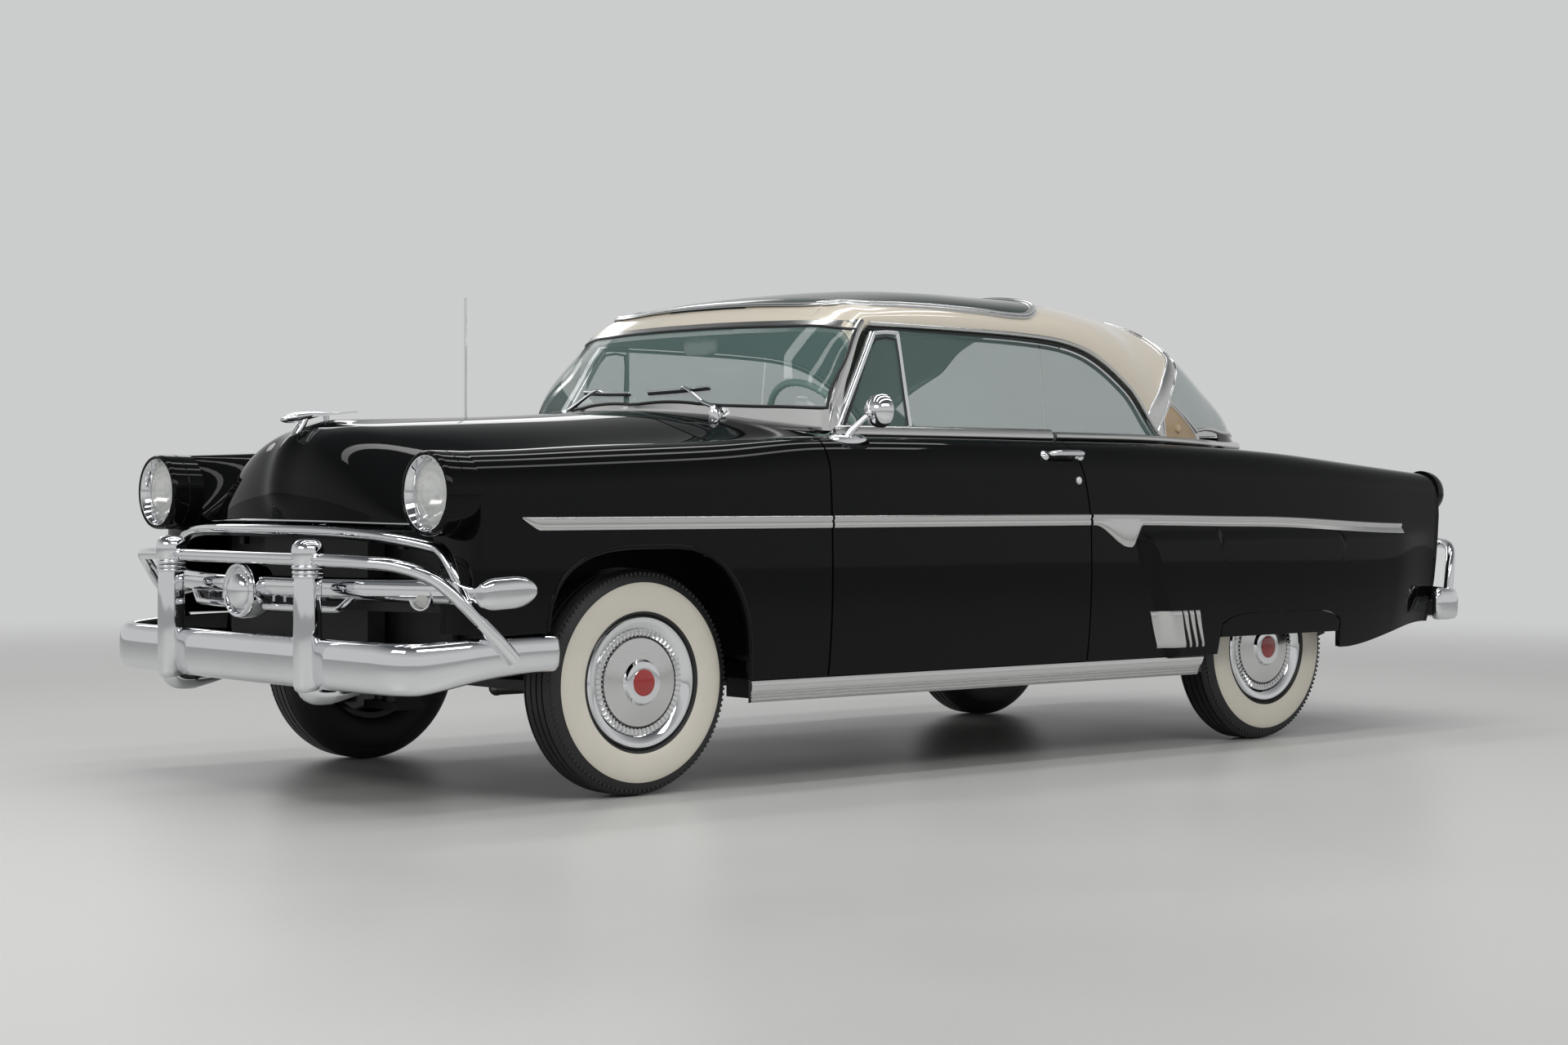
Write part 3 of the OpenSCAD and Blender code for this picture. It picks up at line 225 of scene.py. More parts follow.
VINYL = Finish("seat_vinyl_cream", (0.62, 0.60, 0.50), 0.40, Grain.ROUGH, scale=140.0, spread=0.08, bump=0.25,
               shade=0.05, slot="seat_cloth")
LINER = Finish("headliner_cloth", (0.36, 0.40, 0.36), 0.9, Grain.WEAVE, scale=300.0, spread=0.05, bump=0.2,
               shade=0.1, slot="seat_cloth")
DASH = Finish("dash_enamel", (0.030, 0.060, 0.050), 0.20, Grain.PEEL, scale=20.0, spread=0.05, coat=0.5,
              slot="dash_paint")
MINT = Finish("mint_plastic", (0.50, 0.68, 0.58), 0.22, Grain.MOTTLE, scale=30.0, spread=0.06, shade=0.05, coat=0.4,
              slot="dash_paint")
GOLD = Finish("tan_mesh", (0.56, 0.42, 0.27), 0.36, Grain.WEAVE, metal=0.3, scale=170.0, spread=0.1, bump=0.8,
              shade=0.25)
DIAL = Finish("dial_face", (0.62, 0.62, 0.58), 0.35, Grain.MOTTLE, scale=90.0, spread=0.06, slot="dash_paint")
WING = Finish("green_roof_skin", (0.008, 0.022, 0.016), 0.03, Grain.CLEAR, scale=6.0, spread=0.012, gloss=0.6,
              slot="roof_tint")
FLOOR = Finish("studio_floor", (0.60, 0.60, 0.585), 0.36, Grain.MOTTLE, scale=0.9, spread=0.08, shade=0.045)


def mix(a: Array | float, b: Array | float, s: Array | float) -> Array | float:
    """Point part of the way from a to b."""
    return a + (b - a) * s


def smooth_step(a: Array | float, b: Array | float, x: Array | float) -> Array:
    """Smooth step from 0 at a to 1 at b."""
    s = np.clip((x - a) / (b - a), 0.0, 1.0)
    return s * s * (3.0 - 2.0 * s)


class Line:
    """A smooth curve through one column of a table of sections."""

    STEPS = 1600

    def __init__(self, at: Sequence[float], value: Sequence[float], blur: float = 0.012,
                 calm: bool = False) -> None:
        """Samples the curve finely and evens it out.

        Args:
            at: places of the sections, rising.
            value: the column's value at each place.
            blur: reach of the evening out, as a share of the table's length.
            calm: keeps the curve from swinging past the values of the table.
        """
        xs, ys = np.array(at, float), np.array(value, float)
        slope = np.array([(ys[min(i + 1, len(xs) - 1)] - ys[max(i - 1, 0)])
                          / (xs[min(i + 1, len(xs) - 1)] - xs[max(i - 1, 0)]) for i in range(len(xs))])
        if calm:
            rise = np.diff(ys) / np.diff(xs)
            least = np.minimum(np.abs(rise[:-1]), np.abs(rise[1:])) * 2.2
            slope[1:-1] = np.where(rise[:-1] * rise[1:] > 0, np.clip(slope[1:-1], -least, least), 0.0)
        grid = np.linspace(xs[0], xs[-1], self.STEPS)
        i = np.clip(np.searchsorted(xs, grid, side="right") - 1, 0, len(xs) - 2)
        h = xs[i + 1] - xs[i]
        s = (grid - xs[i]) / h
        fine = (ys[i] * (1 + 2 * s) * (1 - s) ** 2 + slope[i] * h * s * (1 - s) ** 2
                + ys[i + 1] * s * s * (3 - 2 * s) + slope[i + 1] * h * s * s * (s - 1))
        reach = int(self.STEPS * blur * 3)
        if reach:
            kernel = np.exp(-0.5 * (np.arange(-reach, reach + 1) / (reach / 3)) ** 2)
            before = 2 * fine[0] - fine[reach:0:-1]
            after = 2 * fine[-1] - fine[-2:-reach - 2:-1]
            fine = np.convolve(np.concatenate([before, fine, after]), kernel / kernel.sum(), "valid")
        self._grid, self._fine = grid, fine

    def __call__(self, x: Array | float) -> Array:
        """Value at x, held at the ends."""
        return np.interp(x, self._grid, self._fine)


class Shape:
    """The body's surfaces as functions, from the same tables of sections as the frame."""

    BODY = (
        (TAIL, -0.072, 0.905, 0.008, 0.060, -0.154, 0.985, -0.332, 0.960),
        (RX - 0.500, -0.040, 0.918, 0.010, 0.040, -0.157, 1.022, -0.307, 1.008),
        (RX, -0.028, 0.930, 0.010, 0.030, -0.150, BELT - 0.028, -0.268, BELT - 0.030),
        (DOOR_REAR - 0.450, -0.027, 0.940, 0.010, 0.030, -0.137, BELT - 0.006, -0.180, BELT - 0.006),
        (DOOR_REAR, -0.027, 0.945, 0.010, 0.030, -0.132, BELT - 0.003, -0.164, BELT - 0.003),
        (DOOR_FRONT, -0.027, 0.945, 0.010, 0.030, -0.132, BELT - 0.003, -0.197, BELT),
        (FX - 0.300, -0.026, 0.930, 0.008, 0.030, -0.157, 1.066, -0.260, 1.046),
        (FX + 0.150, -0.024, 0.915, 0.006, 0.035, -0.160, 1.048, -0.292, 1.000),
        (FX + 0.450, -0.024, 0.905, 0.005, 0.045, -0.147, 1.031, -0.292, 0.935),
        (NOSE, -0.024, 0.900, 0.004, 0.060, -0.144, 1.024, -0.277, 0.818))
    HOOD = (
        (COWL + GAP, 1.176, COWL + GAP), (FX - 0.150, 1.157, FX - 0.160), (FX + 0.150, 1.140, FX + 0.130),
        (FX + 0.450, 1.124, FX + 0.400), (FX + 0.600, 1.112, FX + 0.520), (FX + 0.690, 1.078, FX + 0.580),
        (FX + 0.740, 1.020, FX + 0.612), (FX + 0.764, 0.925, FX + 0.630), (FX + 0.759, 0.824, NOSE))
    GLASS = (
        (RX - 0.290, 1.110, 0.010, 1.106), (RX - 0.235, 1.146, 0.360, 1.103), (RX - 0.060, 1.282, 0.560, 1.096),
        (RX + 0.130, 1.422, 0.650, 1.092), (RX + 0.290, 1.528, 0.705, 1.092), (RX + 0.490, 1.583, 0.735, 1.094),
        (RX + 0.700, 1.597, 0.738, 1.280), (RX + 0.920, 1.604, 0.734, 1.403), (RX + 1.180, 1.608, 0.726, 1.444),
        (FX - 1.336, 1.606, 0.724, 1.454), (FX - 0.994, 1.562, 0.722, 1.456), (FX - 0.880, 1.510, 0.752, 1.280),
        (FX - 0.767, 1.412, 0.786, 1.104), (FX - 0.690, 1.318, 0.600, 1.130), (FX - 0.620, 1.226, 0.320, 1.168),
        (FX - 0.588, 1.190, 0.010, 1.188))
    LID = (
        (RX - 0.390, 1.076, RX - 0.340, 1.030), (RX - 0.570, 1.034, RX - 0.550, 1.000),
        (RX - 0.780, 0.972, RX - 0.760, 0.950), (RX - 0.930, 0.905, RX - 0.890, 0.900),
        (RX - 1.010, 0.800, RX - 0.940, 0.800), (RX - 1.050, 0.620, RX - 0.965, 0.620))
    FENDER_OUT = 0.026
    POWER = 2.6

    def __init__(self) -> None:
        """Turns the tables into smooth lines."""
        rows = list(zip(*self.BODY))
        shift = (HALF_W, 0.0, 0.0, 0.0, HALF_W, 0.0, HALF_W, 0.0)
        (self.half, self.zs, self.top_in, self.low_in, self.yc, self.zc, self.yg, self.zg) = [
            Line(rows[0], [v + d for v in row]) for row, d in zip(rows[1:], shift)]
        self._hood = [Line(range(9), column, 0.02) for column in zip(*self.HOOD)]
        glass = list(zip(*self.GLASS))
        self._glass = [Line(glass[0], column, 0.0, calm) for column, calm in zip(glass[1:], (False, False, True))]
        self._lid = [Line(range(6), column, 0.02) for column in zip(*self.LID)]

    def bulge(self, x: Array, z: Array) -> Array:
        """How far the rear fender stands out of the body side."""
        edge = DOOR_REAR - 0.232 - 0.4 * (0.765 - z)
        return (self.FENDER_OUT * smooth_step(edge + 0.010, edge - 0.045, x) * smooth_step(0.785, 0.735, z)
                * smooth_step(TAIL - 0.020, TAIL + 0.300, x))

    def side_y(self, x: Array, z: Array) -> Array:
        """Half width of the body side at x and z."""
        up = np.maximum(z - WIDE_Z, 0.0) / (self.zs(x) - WIDE_Z)
        lower = np.maximum(WIDE_Z - z, 0.0) / (WIDE_Z - SILL)
        return self.half(x) + self.bulge(x, z) - self.top_in(x) * up ** 2 - self.low_in(x) * lower ** 2

    def skin(self, x: Array, q: Array, low: Array, top: float = 1.0, inset: float = GAP) -> Array:
        """Points of the side skin.

        Args:
            x: places along the car.
            q: 0 to 1 up the side, 1 to 2 over the crown, 2 to 3 over the shelf to the joint.
            low: height of the lower edge at each x.
            top: share of the shelf that is used.
            inset: gap kept at the joint.

        Returns:
            Points on the left side, with one more axis than x.
        """
        zs, yc, zc = self.zs(x), self.yc(x), self.zc(x)
        z_side = mix(low, zs, np.clip(q, 0, 1))
        a = np.clip(q - 1, 0, 1) * math.pi / 2
        s = np.clip(q - 2, 0, 1) * top
        ys = self.side_y(x, zs)
        crown_y = np.where(q <= 2, yc + (ys - yc) * np.cos(a), mix(yc, self.yg(x) + inset, s))
        crown_z = np.where(q <= 2, zs + (zc - zs) * np.sin(a), mix(zc, self.zg(x), (1 - np.cos(math.pi * s)) / 2))
        y = np.where(q <= 1, self.side_y(x, z_side), crown_y)
        z = np.where(q <= 1, z_side, crown_z)
        return xyz(x, y, z)

    def hood(self, t: Array, v: Array) -> Array:
        """Points of the hood at row t, 0 to 8, and share v of the half width."""
        cx, cz, gx = (line(t) for line in self._hood)
        rise = np.cos(np.pi / 2 * np.abs(v) ** 1.35) ** 2
        return xyz(mix(cx, gx, v * v), v * (self.yg(gx) - GAP), mix(self.zg(gx), cz, rise))

    def dome(self, x: Array, a: Array) -> Array:
        """Points of the roof and glass surface at x and angle a in degrees from the middle."""
        zc, ye, ze = (line(x) for line in self._glass)
        sin, cos = np.abs(np.sin(np.radians(a))), np.abs(np.cos(np.radians(a)))
        return xyz(x, np.sign(a) * ye * sin ** (2 / self.POWER), ze + (zc - ze) * cos ** (2 / self.POWER))

    def dome_angle(self, x: Array, y: Array) -> Array:
        """Angle on the dome at x whose point lies at y."""
        share = np.clip(np.abs(y) / self._glass[1](x), 0, 1)
        return np.sign(y) * np.degrees(np.arcsin(share ** (self.POWER / 2)))

    def dome_edge(self, x: Array) -> tuple[Array, Array]:
        """Half width and height of the dome's side edge at x."""
        return self._glass[1](x), self._glass[2](x)

    def lid(self, t: Array, v: Array) -> Array:
        """Points of the trunk lid at row t, 0 to 5, and share v of the half width."""
        cx, cz, gx, gz = (line(t) for line in self._lid)
        return xyz(mix(cx, gx, v * v), v * (self.yg(np.maximum(gx, TAIL)) - GAP), mix(cz, gz, v * v))


SHAPE = Shape()


HEADER = Line((0.0, 10.0, 20.0, 30.0, 40.0, 50.0, 60.0, 70.0, 78.0, 84.0, 90.0),
              (0.794, 0.791, 0.782, 0.767, 0.746, 0.723, 0.704, 0.686, 0.671, 0.657, 0.636), 0.01)


def header(a: Array) -> Array:
    """Front edge of the roof at angle a."""
    return HEADER(np.abs(a))


ROOF_FOOT = Line((0.0, 30.0, 45.0, 52.0, 56.0, 60.0, 66.0, 72.0, 80.0, 86.0, 90.0),
                 (-0.904, -0.941, -0.956, -0.952, -0.935, -0.902, -0.854, -0.807, -0.757, -0.724, -0.705), 0.02)
BAND_WIDE = Line((0.0, 40.0, 52.0, 58.0, 66.0, 80.0, 90.0), (0.018, 0.020, 0.032, 0.052, 0.070, 0.066, 0.050), 0.02)


def pane_front(a: Array) -> Array:
    """Front edge of the rear window at angle a, behind the bright band and the insert."""
    return np.minimum(ROOF_FOOT(np.abs(a)) - BAND_WIDE(np.abs(a)),
                      -0.832 - 0.0165 * np.maximum(np.abs(a) - 78.5, 0.0) + 10.0 * (np.abs(a) < 78.5))


def door_rear_edge(z: Array) -> Array:
    """Rear edge of the door opening at height z."""
    return DOOR_REAR + 0.060 * (np.maximum(z - 0.760, 0.0) / 0.320) ** 2


def tail_lean(x: Array, z: Array) -> Array:
    """How far the tail leans forward at its lower part."""
    return 0.125 * np.maximum(0.835 - z, 0.0) * smooth_step(RX - 0.300, TAIL, x)


def add_mesh(name: str, part: Part, finish: Finish, body: str = "body", sharp: float = 38.0) -> bpy.types.Object:
    """Makes one piece, merges doubles, turns its normals outward and puts it on its body.

    Args:
        name: name of the piece.
        part: points in metres, in the frame's axes, and the corners of each face.
        finish: finish of the whole piece.
        body: body that the piece rides on.
        sharp: angle in degrees over which an edge stays sharp.

    Returns:
        The new object, at the origin.
    """
    verts, faces = part
    mesh = bpy.data.meshes.new(name)
    mesh.from_pydata([tuple(map(float, v)) for v in verts], [], [tuple(map(int, f)) for f in faces])
    work = bmesh.new()
    work.from_mesh(mesh)
    bmesh.ops.remove_doubles(work, verts=work.verts, dist=MERGE)
    bmesh.ops.recalc_face_normals(work, faces=work.faces)
    work.to_mesh(mesh)
    work.free()
    mesh.shade_smooth()
    mesh.set_sharp_from_angle(angle=math.radians(sharp))
    mesh.materials.append(finish.make())
    piece = bpy.data.objects.new(name, mesh)
    bpy.context.scene.collection.objects.link(piece)
    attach(piece, body)
    LOG.info("%s: %d faces on %s", name, len(mesh.polygons), body)
    return piece


def grid_faces(n: int, m: int, first: int = 0, wrap: bool = False) -> list[tuple[int, ...]]:
    """Faces of a grid of n rows of m points, closed across the row if wrapped."""
    return [(first + i * m + j, first + i * m + (j + 1) % m, first + (i + 1) * m + (j + 1) % m,
             first + (i + 1) * m + j) for i in range(n - 1) for j in range(m if wrap else m - 1)]


def normals(grid: Array) -> Array:
    """Unit normals of a grid of points."""
    along, across = np.gradient(grid, axis=0), np.gradient(grid, axis=1)
    n = np.cross(along, across)
    return n / np.maximum(np.linalg.norm(n, axis=-1, keepdims=True), 1e-12)


def shell(outer: Array, inner: Array, keep: Array | None = None) -> Part:
    """Closed plate between two grids.

    Args:
        outer: grid of points of the outer face.
        inner: grid of points of the inner face.
        keep: which cells of the grid are there; all of them if left out.

    Returns:
        Points and faces of the plate, its rims closed.
    """
    n, m = outer.shape[:2]
    keep = np.ones((n - 1, m - 1), bool) if keep is None else keep
    size = n * m
    faces: list[tuple[int, ...]] = []
    edges: dict[tuple[int, int], int] = {}
    for i, j in zip(*np.nonzero(keep)):
        a, b, c, d = i * m + j, i * m + j + 1, (i + 1) * m + j + 1, (i + 1) * m + j
        faces += [(a, b, c, d), (a + size, d + size, c + size, b + size)]
        for p, q in ((a, b), (b, c), (c, d), (d, a)):
            edges[(p, q)] = edges.get((p, q), 0) + 1
    for p, q in edges:
        if (q, p) not in edges:
            faces.append((q, p, p + size, q + size))
    used = sorted({k for f in faces for k in f})
    place = {k: i for i, k in enumerate(used)}
    points = np.concatenate([outer.reshape(-1, 3), inner.reshape(-1, 3)])[used]
    return points, [tuple(place[k] for k in f) for f in faces]


def xyz(x: Array | float, y: Array | float, z: Array | float) -> Array:
    """Points from their three columns."""
    return np.stack(np.broadcast_arrays(x, y, z), -1)


def down(count: int, low: float = 0.0, high: float = 1.0) -> Array:
    """Even shares down the rows of a grid."""
    return np.linspace(low, high, count)[:, None]


def over(count: int, low: float = 0.0, high: float = 1.0) -> Array:
    """Even shares over the columns of a grid."""
    return np.linspace(low, high, count)[None, :]


def flip(points: Array, side: Side) -> Array:
    """Points mirrored to the given side."""
    return points * np.array([1.0, side.value, 1.0])


def mirrored(part: Part, side: Side) -> Part:
    """A part of the left side, on the given side."""
    return flip(part[0], side), part[1]


def both(part: Part) -> Part:
    """A part of the left side, on both sides."""
    return join(*[mirrored(part, side) for side in Side])


def unit(ways: Array) -> Array:
    """Directions at length 1."""
    return ways / np.linalg.norm(ways, axis=-1, keepdims=True)


def outward(points: Array) -> Array:
    """Direction from the middle of the car's length to each point."""
    return unit(points * np.array([0, 1, 1]) - HUB_Z * UP)


def around(count: int) -> Array:
    """Even angles round a full turn."""
    return np.linspace(0, 2 * math.pi, count, endpoint=False)


def signed(v: Array, power: float) -> Array:
    """Power of v that keeps its sign."""
    return np.sign(v) * np.abs(v) ** power


def tip_rings(ring: Array, way: Array, steps: Sequence[tuple[float, float]]) -> Array:
    """Rings that round off the end of a bar, each with its share of the size and its step along the way."""
    return np.stack([mix(ring.mean(0), ring, size) + out * way for size, out in steps])


def capped(rings: Array) -> Part:
    """Closed bar through a stack of rings."""
    n, k = rings.shape[:2]
    ends = [tuple(range(k)), tuple((n - 1) * k + j for j in reversed(range(k)))]
    return rings.reshape(-1, 3), grid_faces(n, k, wrap=True) + ends


def deck_edge(y: Array, back: float, middle: float, side: float) -> Array:
    """Points along the foot of the rear window.

    Args:
        y: places across the car.
        back: how far the middle lies behind the rear axle.
        middle: height over the belt in the middle.
        side: height over the belt at the sides.

    Returns:
        One point for each y.
    """
    x = RX - back + 0.420 * np.minimum(np.abs(y) / 0.65, 1) ** 4.5
    return xyz(x, y, mix(BELT + middle, BELT + side, (y / 0.64) ** 2))


def mouth_line(v: Array, ahead: float) -> Array:
    """Points along the upper edge of the grille opening, for share v of its half width."""
    return xyz(FX + ahead - 0.185 * v * v, (HALF_W - 0.162) * v, 0.795 - 0.055 * v ** 4)


def sweep(path: Array, across: Array, out: Array, profile: Sequence[tuple[float, float]],
          scale: Array | None = None, closed: bool = False) -> Part:
    """Closed bar with one profile along a path.

    Args:
        path: points of the path.
        across: unit vectors of the profile's first axis.
        out: unit vectors of the profile's second axis.
        profile: outline of the section.
        scale: size of the section at each point.
        closed: whether the path is a loop.

    Returns:
        Points and faces of the bar.
    """
    path = np.asarray(path, float)
    n, k = len(path), len(profile)
    scale = np.ones((n, 1)) if scale is None else np.asarray(scale, float).reshape(n, 1)
    across, out = np.broadcast_to(across, path.shape), np.broadcast_to(out, path.shape)
    rings = np.stack([path + scale * (p * across + q * out) for p, q in profile], 1)
    faces = grid_faces(n, k, wrap=True)
    if closed:
        faces += [((n - 1) * k + j, (n - 1) * k + (j + 1) % k, (j + 1) % k, j) for j in range(k)]
    else:
        faces += [tuple(range(k)), tuple((n - 1) * k + j for j in reversed(range(k)))]
    return rings.reshape(-1, 3), faces


def tube(path: Array, radius: float | Array, sides: int = 16, closed: bool = False) -> Part:
    """Round bar along a path, with a frame carried along it."""
    path = np.asarray(path, float)
    step = np.gradient(path, axis=0)
    if closed:
        step = np.roll(path, -1, 0) - np.roll(path, 1, 0)
    step /= np.linalg.norm(step, axis=1, keepdims=True)
    first = np.cross(step[0], (0.0, 0.0, 1.0) if abs(step[0][2]) < 0.9 else (1.0, 0.0, 0.0))
    side = [first / np.linalg.norm(first)]
    for t in step[1:]:
        s = side[-1] - t * float(np.dot(side[-1], t))
        side.append(s / np.linalg.norm(s))
    ring = [(math.cos(2 * math.pi * i / sides), math.sin(2 * math.pi * i / sides)) for i in range(sides)]
    return sweep(path, np.array(side), np.cross(step, np.array(side)), ring,
                 np.broadcast_to(np.asarray(radius, float).reshape(-1, 1), (len(path), 1)), closed)


def lathe(profile: Sequence[tuple[float, float]], centre: Sequence[float], axis: Sequence[float],
          segments: int = 96) -> Part:
    """Turned solid.

    Args:
        profile: radius and height along the axis, from one pole or bore round to the other.
        centre: where height 0 lies.
        axis: direction of the axis.
        segments: steps round.

    Returns:
        Points and faces; a profile whose ends differ is closed on itself.
    """
    n = np.array(Vector(axis).normalized())
    u = np.array(Vector(axis).orthogonal().normalized())
    v = np.cross(n, u)
    turn = around(segments)
    ring = np.cos(turn)[:, None] * u + np.sin(turn)[:, None] * v
    points = np.stack([np.asarray(centre) + r * ring + h * n for r, h in profile], 1)
    m = len(profile)
    faces = []
    whole = profile[0][0] > TINY
    for i in range(segments):
        k = (i + 1) % segments
        for j in range(m if whole else m - 1):
            faces.append((i * m + j, i * m + (j + 1) % m, k * m + (j + 1) % m, k * m + j))
    return points.reshape(-1, 3), faces


def join(*parts: Part) -> Part:
    """Several point and face lists as one."""
    points, faces, start = [], [], 0
    for p, f in parts:
        points.append(np.asarray(p))
        faces += [tuple(k + start for k in face) for face in f]
        start += len(p)
    return np.concatenate(points), faces


def rounded(piece: bpy.types.Object, width: float = 0.0018) -> bpy.types.Object:
    """Rounds the sharp rims of a plate."""
    edge = piece.modifiers.new("rim", "BEVEL")
    edge.width = width
    edge.segments = 2
    edge.limit_method = "ANGLE"
    edge.angle_limit = math.radians(50)
    return piece


BAND = ((-1.0, -0.2), (-0.92, 0.55), (-0.6, 0.9), (0.0, 1.0), (0.6, 0.9), (0.92, 0.55), (1.0, -0.2))


@dataclass
class Studio:
    """Floor, background, lights and camera."""

    floor_span: float = 60.0
    lens: float = 62.178
    eye: tuple[float, float, float] = (6.579, 7.190, 0.914)
    yaw: float = -130.821
    pitch: float = -0.676
    roll: float = 0.135
    backdrop: Colour = (0.60, 0.605, 0.605)
    zenith: Colour = (0.10, 0.105, 0.11)
    fade: tuple[float, float] = (4.5, 11.0)

    def build(self) -> None:
        """Makes everything that isn't part of the car."""
        self._camera()
        self._floor()
        self._sky()
        self._light("key", (2.2, 6.5, 5.2), (0.2, 0.0, 0.7), (7.0, 1.6), 130.0)
        for name, y in (("left", 2.3), ("middle", 0.4), ("right", -1.5)):
            self._light(f"top_{name}", (0.4, y, 5.4), (0.4, y * 0.8, 0.0), (8.5, 0.45), 62.0)
        self._light("front", (7.5, 1.0, 3.6), (1.5, 0.0, 0.7), (3.5, 1.2), 60.0)
        self._light("far", (-1.0, -7.0, 4.2), (0.0, 0.0, 0.7), (7.0, 1.2), 60.0)
        view = bpy.context.scene.view_settings
        view.view_transform = "Standard"

    def _camera(self) -> None:
        """Camera of the photograph."""
        yaw, pitch, roll = (math.radians(a) for a in (self.yaw, self.pitch, self.roll))
        ahead = Vector((math.cos(pitch) * math.cos(yaw), math.cos(pitch) * math.sin(yaw), math.sin(pitch)))
        right = ahead.cross(Vector((0, 0, 1))).normalized()
        up = right.cross(ahead)
        right, up = math.cos(roll) * right + math.sin(roll) * up, -math.sin(roll) * right + math.cos(roll) * up
        data = bpy.data.cameras.new("camera")
        data.sensor_width = 36.0
        data.lens = self.lens
        data.clip_end = 200.0
        camera = bpy.data.objects.new("camera", data)
        camera.matrix_world = Matrix.Translation(self.eye) @ Matrix((right, up, -ahead)).transposed().to_4x4()
        bpy.context.scene.collection.objects.link(camera)
        bpy.context.scene.camera = camera

    def _floor(self) -> None:
        """Pale floor, a little glossy."""
        mesh = bpy.data.meshes.new("floor")
        h = self.floor_span / 2
        mesh.from_pydata([(-h, -h, 0), (h, -h, 0), (h, h, 0), (-h, h, 0)], [], [(0, 1, 2, 3)])
        mesh.materials.append(self._fading(FLOOR.make()))
        floor = bpy.data.objects.new("floor", mesh)
        bpy.context.scene.collection.objects.link(floor)

    def _fading(self, paint: bpy.types.Material) -> bpy.types.Material:
        """Lets the floor pass into the backdrop with distance, for what is seen."""
        tree = paint.node_tree
        out = next(n for n in tree.nodes if n.bl_idname == "ShaderNodeOutputMaterial")
        face = next(n for n in tree.nodes if n.bl_idname == "ShaderNodeBsdfPrincipled")
        node, link = tree.nodes.new, tree.links.new
        place, size, span = node("ShaderNodeTexCoord"), node("ShaderNodeVectorMath"), node("ShaderNodeMapRange")
        glow, rays, part, blend = (node(f"ShaderNode{k}") for k in ("Emission", "LightPath", "Math", "MixShader"))
        size.operation, part.operation, span.interpolation_type = "LENGTH", "MULTIPLY", "SMOOTHSTEP"
        span.inputs["From Min"].default_value, span.inputs["From Max"].default_value = self.fade
        glow.inputs["Color"].default_value = (*self.backdrop, 1.0)
        either = node("ShaderNodeMath")
        either.operation = "MAXIMUM"
        link(rays.outputs["Is Camera Ray"], either.inputs[0])
        link(rays.outputs["Is Transmission Ray"], either.inputs[1])
        link(place.outputs["Object"], size.inputs[0])
        link(size.outputs["Value"], span.inputs["Value"])
        link(span.outputs["Result"], part.inputs[0])
        link(either.outputs[0], part.inputs[1])
        link(part.outputs[0], blend.inputs[0])
        link(face.outputs["BSDF"], blend.inputs[1])
        link(glow.outputs[0], blend.inputs[2])
        link(blend.outputs[0], out.inputs["Surface"])
        return paint

    def _sky(self) -> None:
        """Pale background that is seen, mirrored and looked through, with softer light for the rest."""
        world = bpy.data.worlds.new("studio")
        world.use_nodes = True
        bpy.context.scene.world = world
        tree = world.node_tree
        tree.nodes.clear()
        out = tree.nodes.new("ShaderNodeOutputWorld")
        seen, lit = (tree.nodes.new("ShaderNodeBackground") for _ in range(2))
        place, parts = tree.nodes.new("ShaderNodeTexCoord"), tree.nodes.new("ShaderNodeSeparateXYZ")
        ramp = tree.nodes.new("ShaderNodeValToRGB")
        tree.links.new(place.outputs["Generated"], parts.inputs["Vector"])
        tree.links.new(parts.outputs["Z"], ramp.inputs["Fac"])
        stops = ramp.color_ramp.elements
        stops[0].position, stops[0].color = 0.22, (*self.backdrop, 1.0)
        stops[1].position, stops[1].color = 0.72, (*self.zenith, 1.0)
        tree.links.new(ramp.outputs["Color"], seen.inputs["Color"])
        lit.inputs["Color"].default_value = (*self.backdrop, 1.0)
        lit.inputs["Strength"].default_value = 0.75
        rays = tree.nodes.new("ShaderNodeLightPath")
        total = rays.outputs["Is Camera Ray"]
        for kind in ("Is Glossy Ray", "Is Transmission Ray"):
            either = tree.nodes.new("ShaderNodeMath")
            either.operation = "MAXIMUM"
            tree.links.new(total, either.inputs[0])
            tree.links.new(rays.outputs[kind], either.inputs[1])
            total = either.outputs[0]
        choose = tree.nodes.new("ShaderNodeMixShader")
        tree.links.new(total, choose.inputs[0])
        tree.links.new(lit.outputs[0], choose.inputs[1])
        tree.links.new(seen.outputs[0], choose.inputs[2])
        tree.links.new(choose.outputs[0], out.inputs["Surface"])

    def _light(self, name: str, at: Sequence[float], aim: Sequence[float], size: tuple[float, float],
               power: float) -> None:
        """One soft panel of light."""
        data = bpy.data.lights.new(name, "AREA")
        data.shape = "RECTANGLE"
        data.size, data.size_y = size
        data.energy = power
        lamp = bpy.data.objects.new(name, data)
        lamp.location = at
        lamp.rotation_euler = (Vector(aim) - Vector(at)).to_track_quat("-Z", "Y").to_euler()
        bpy.context.scene.collection.objects.link(lamp)


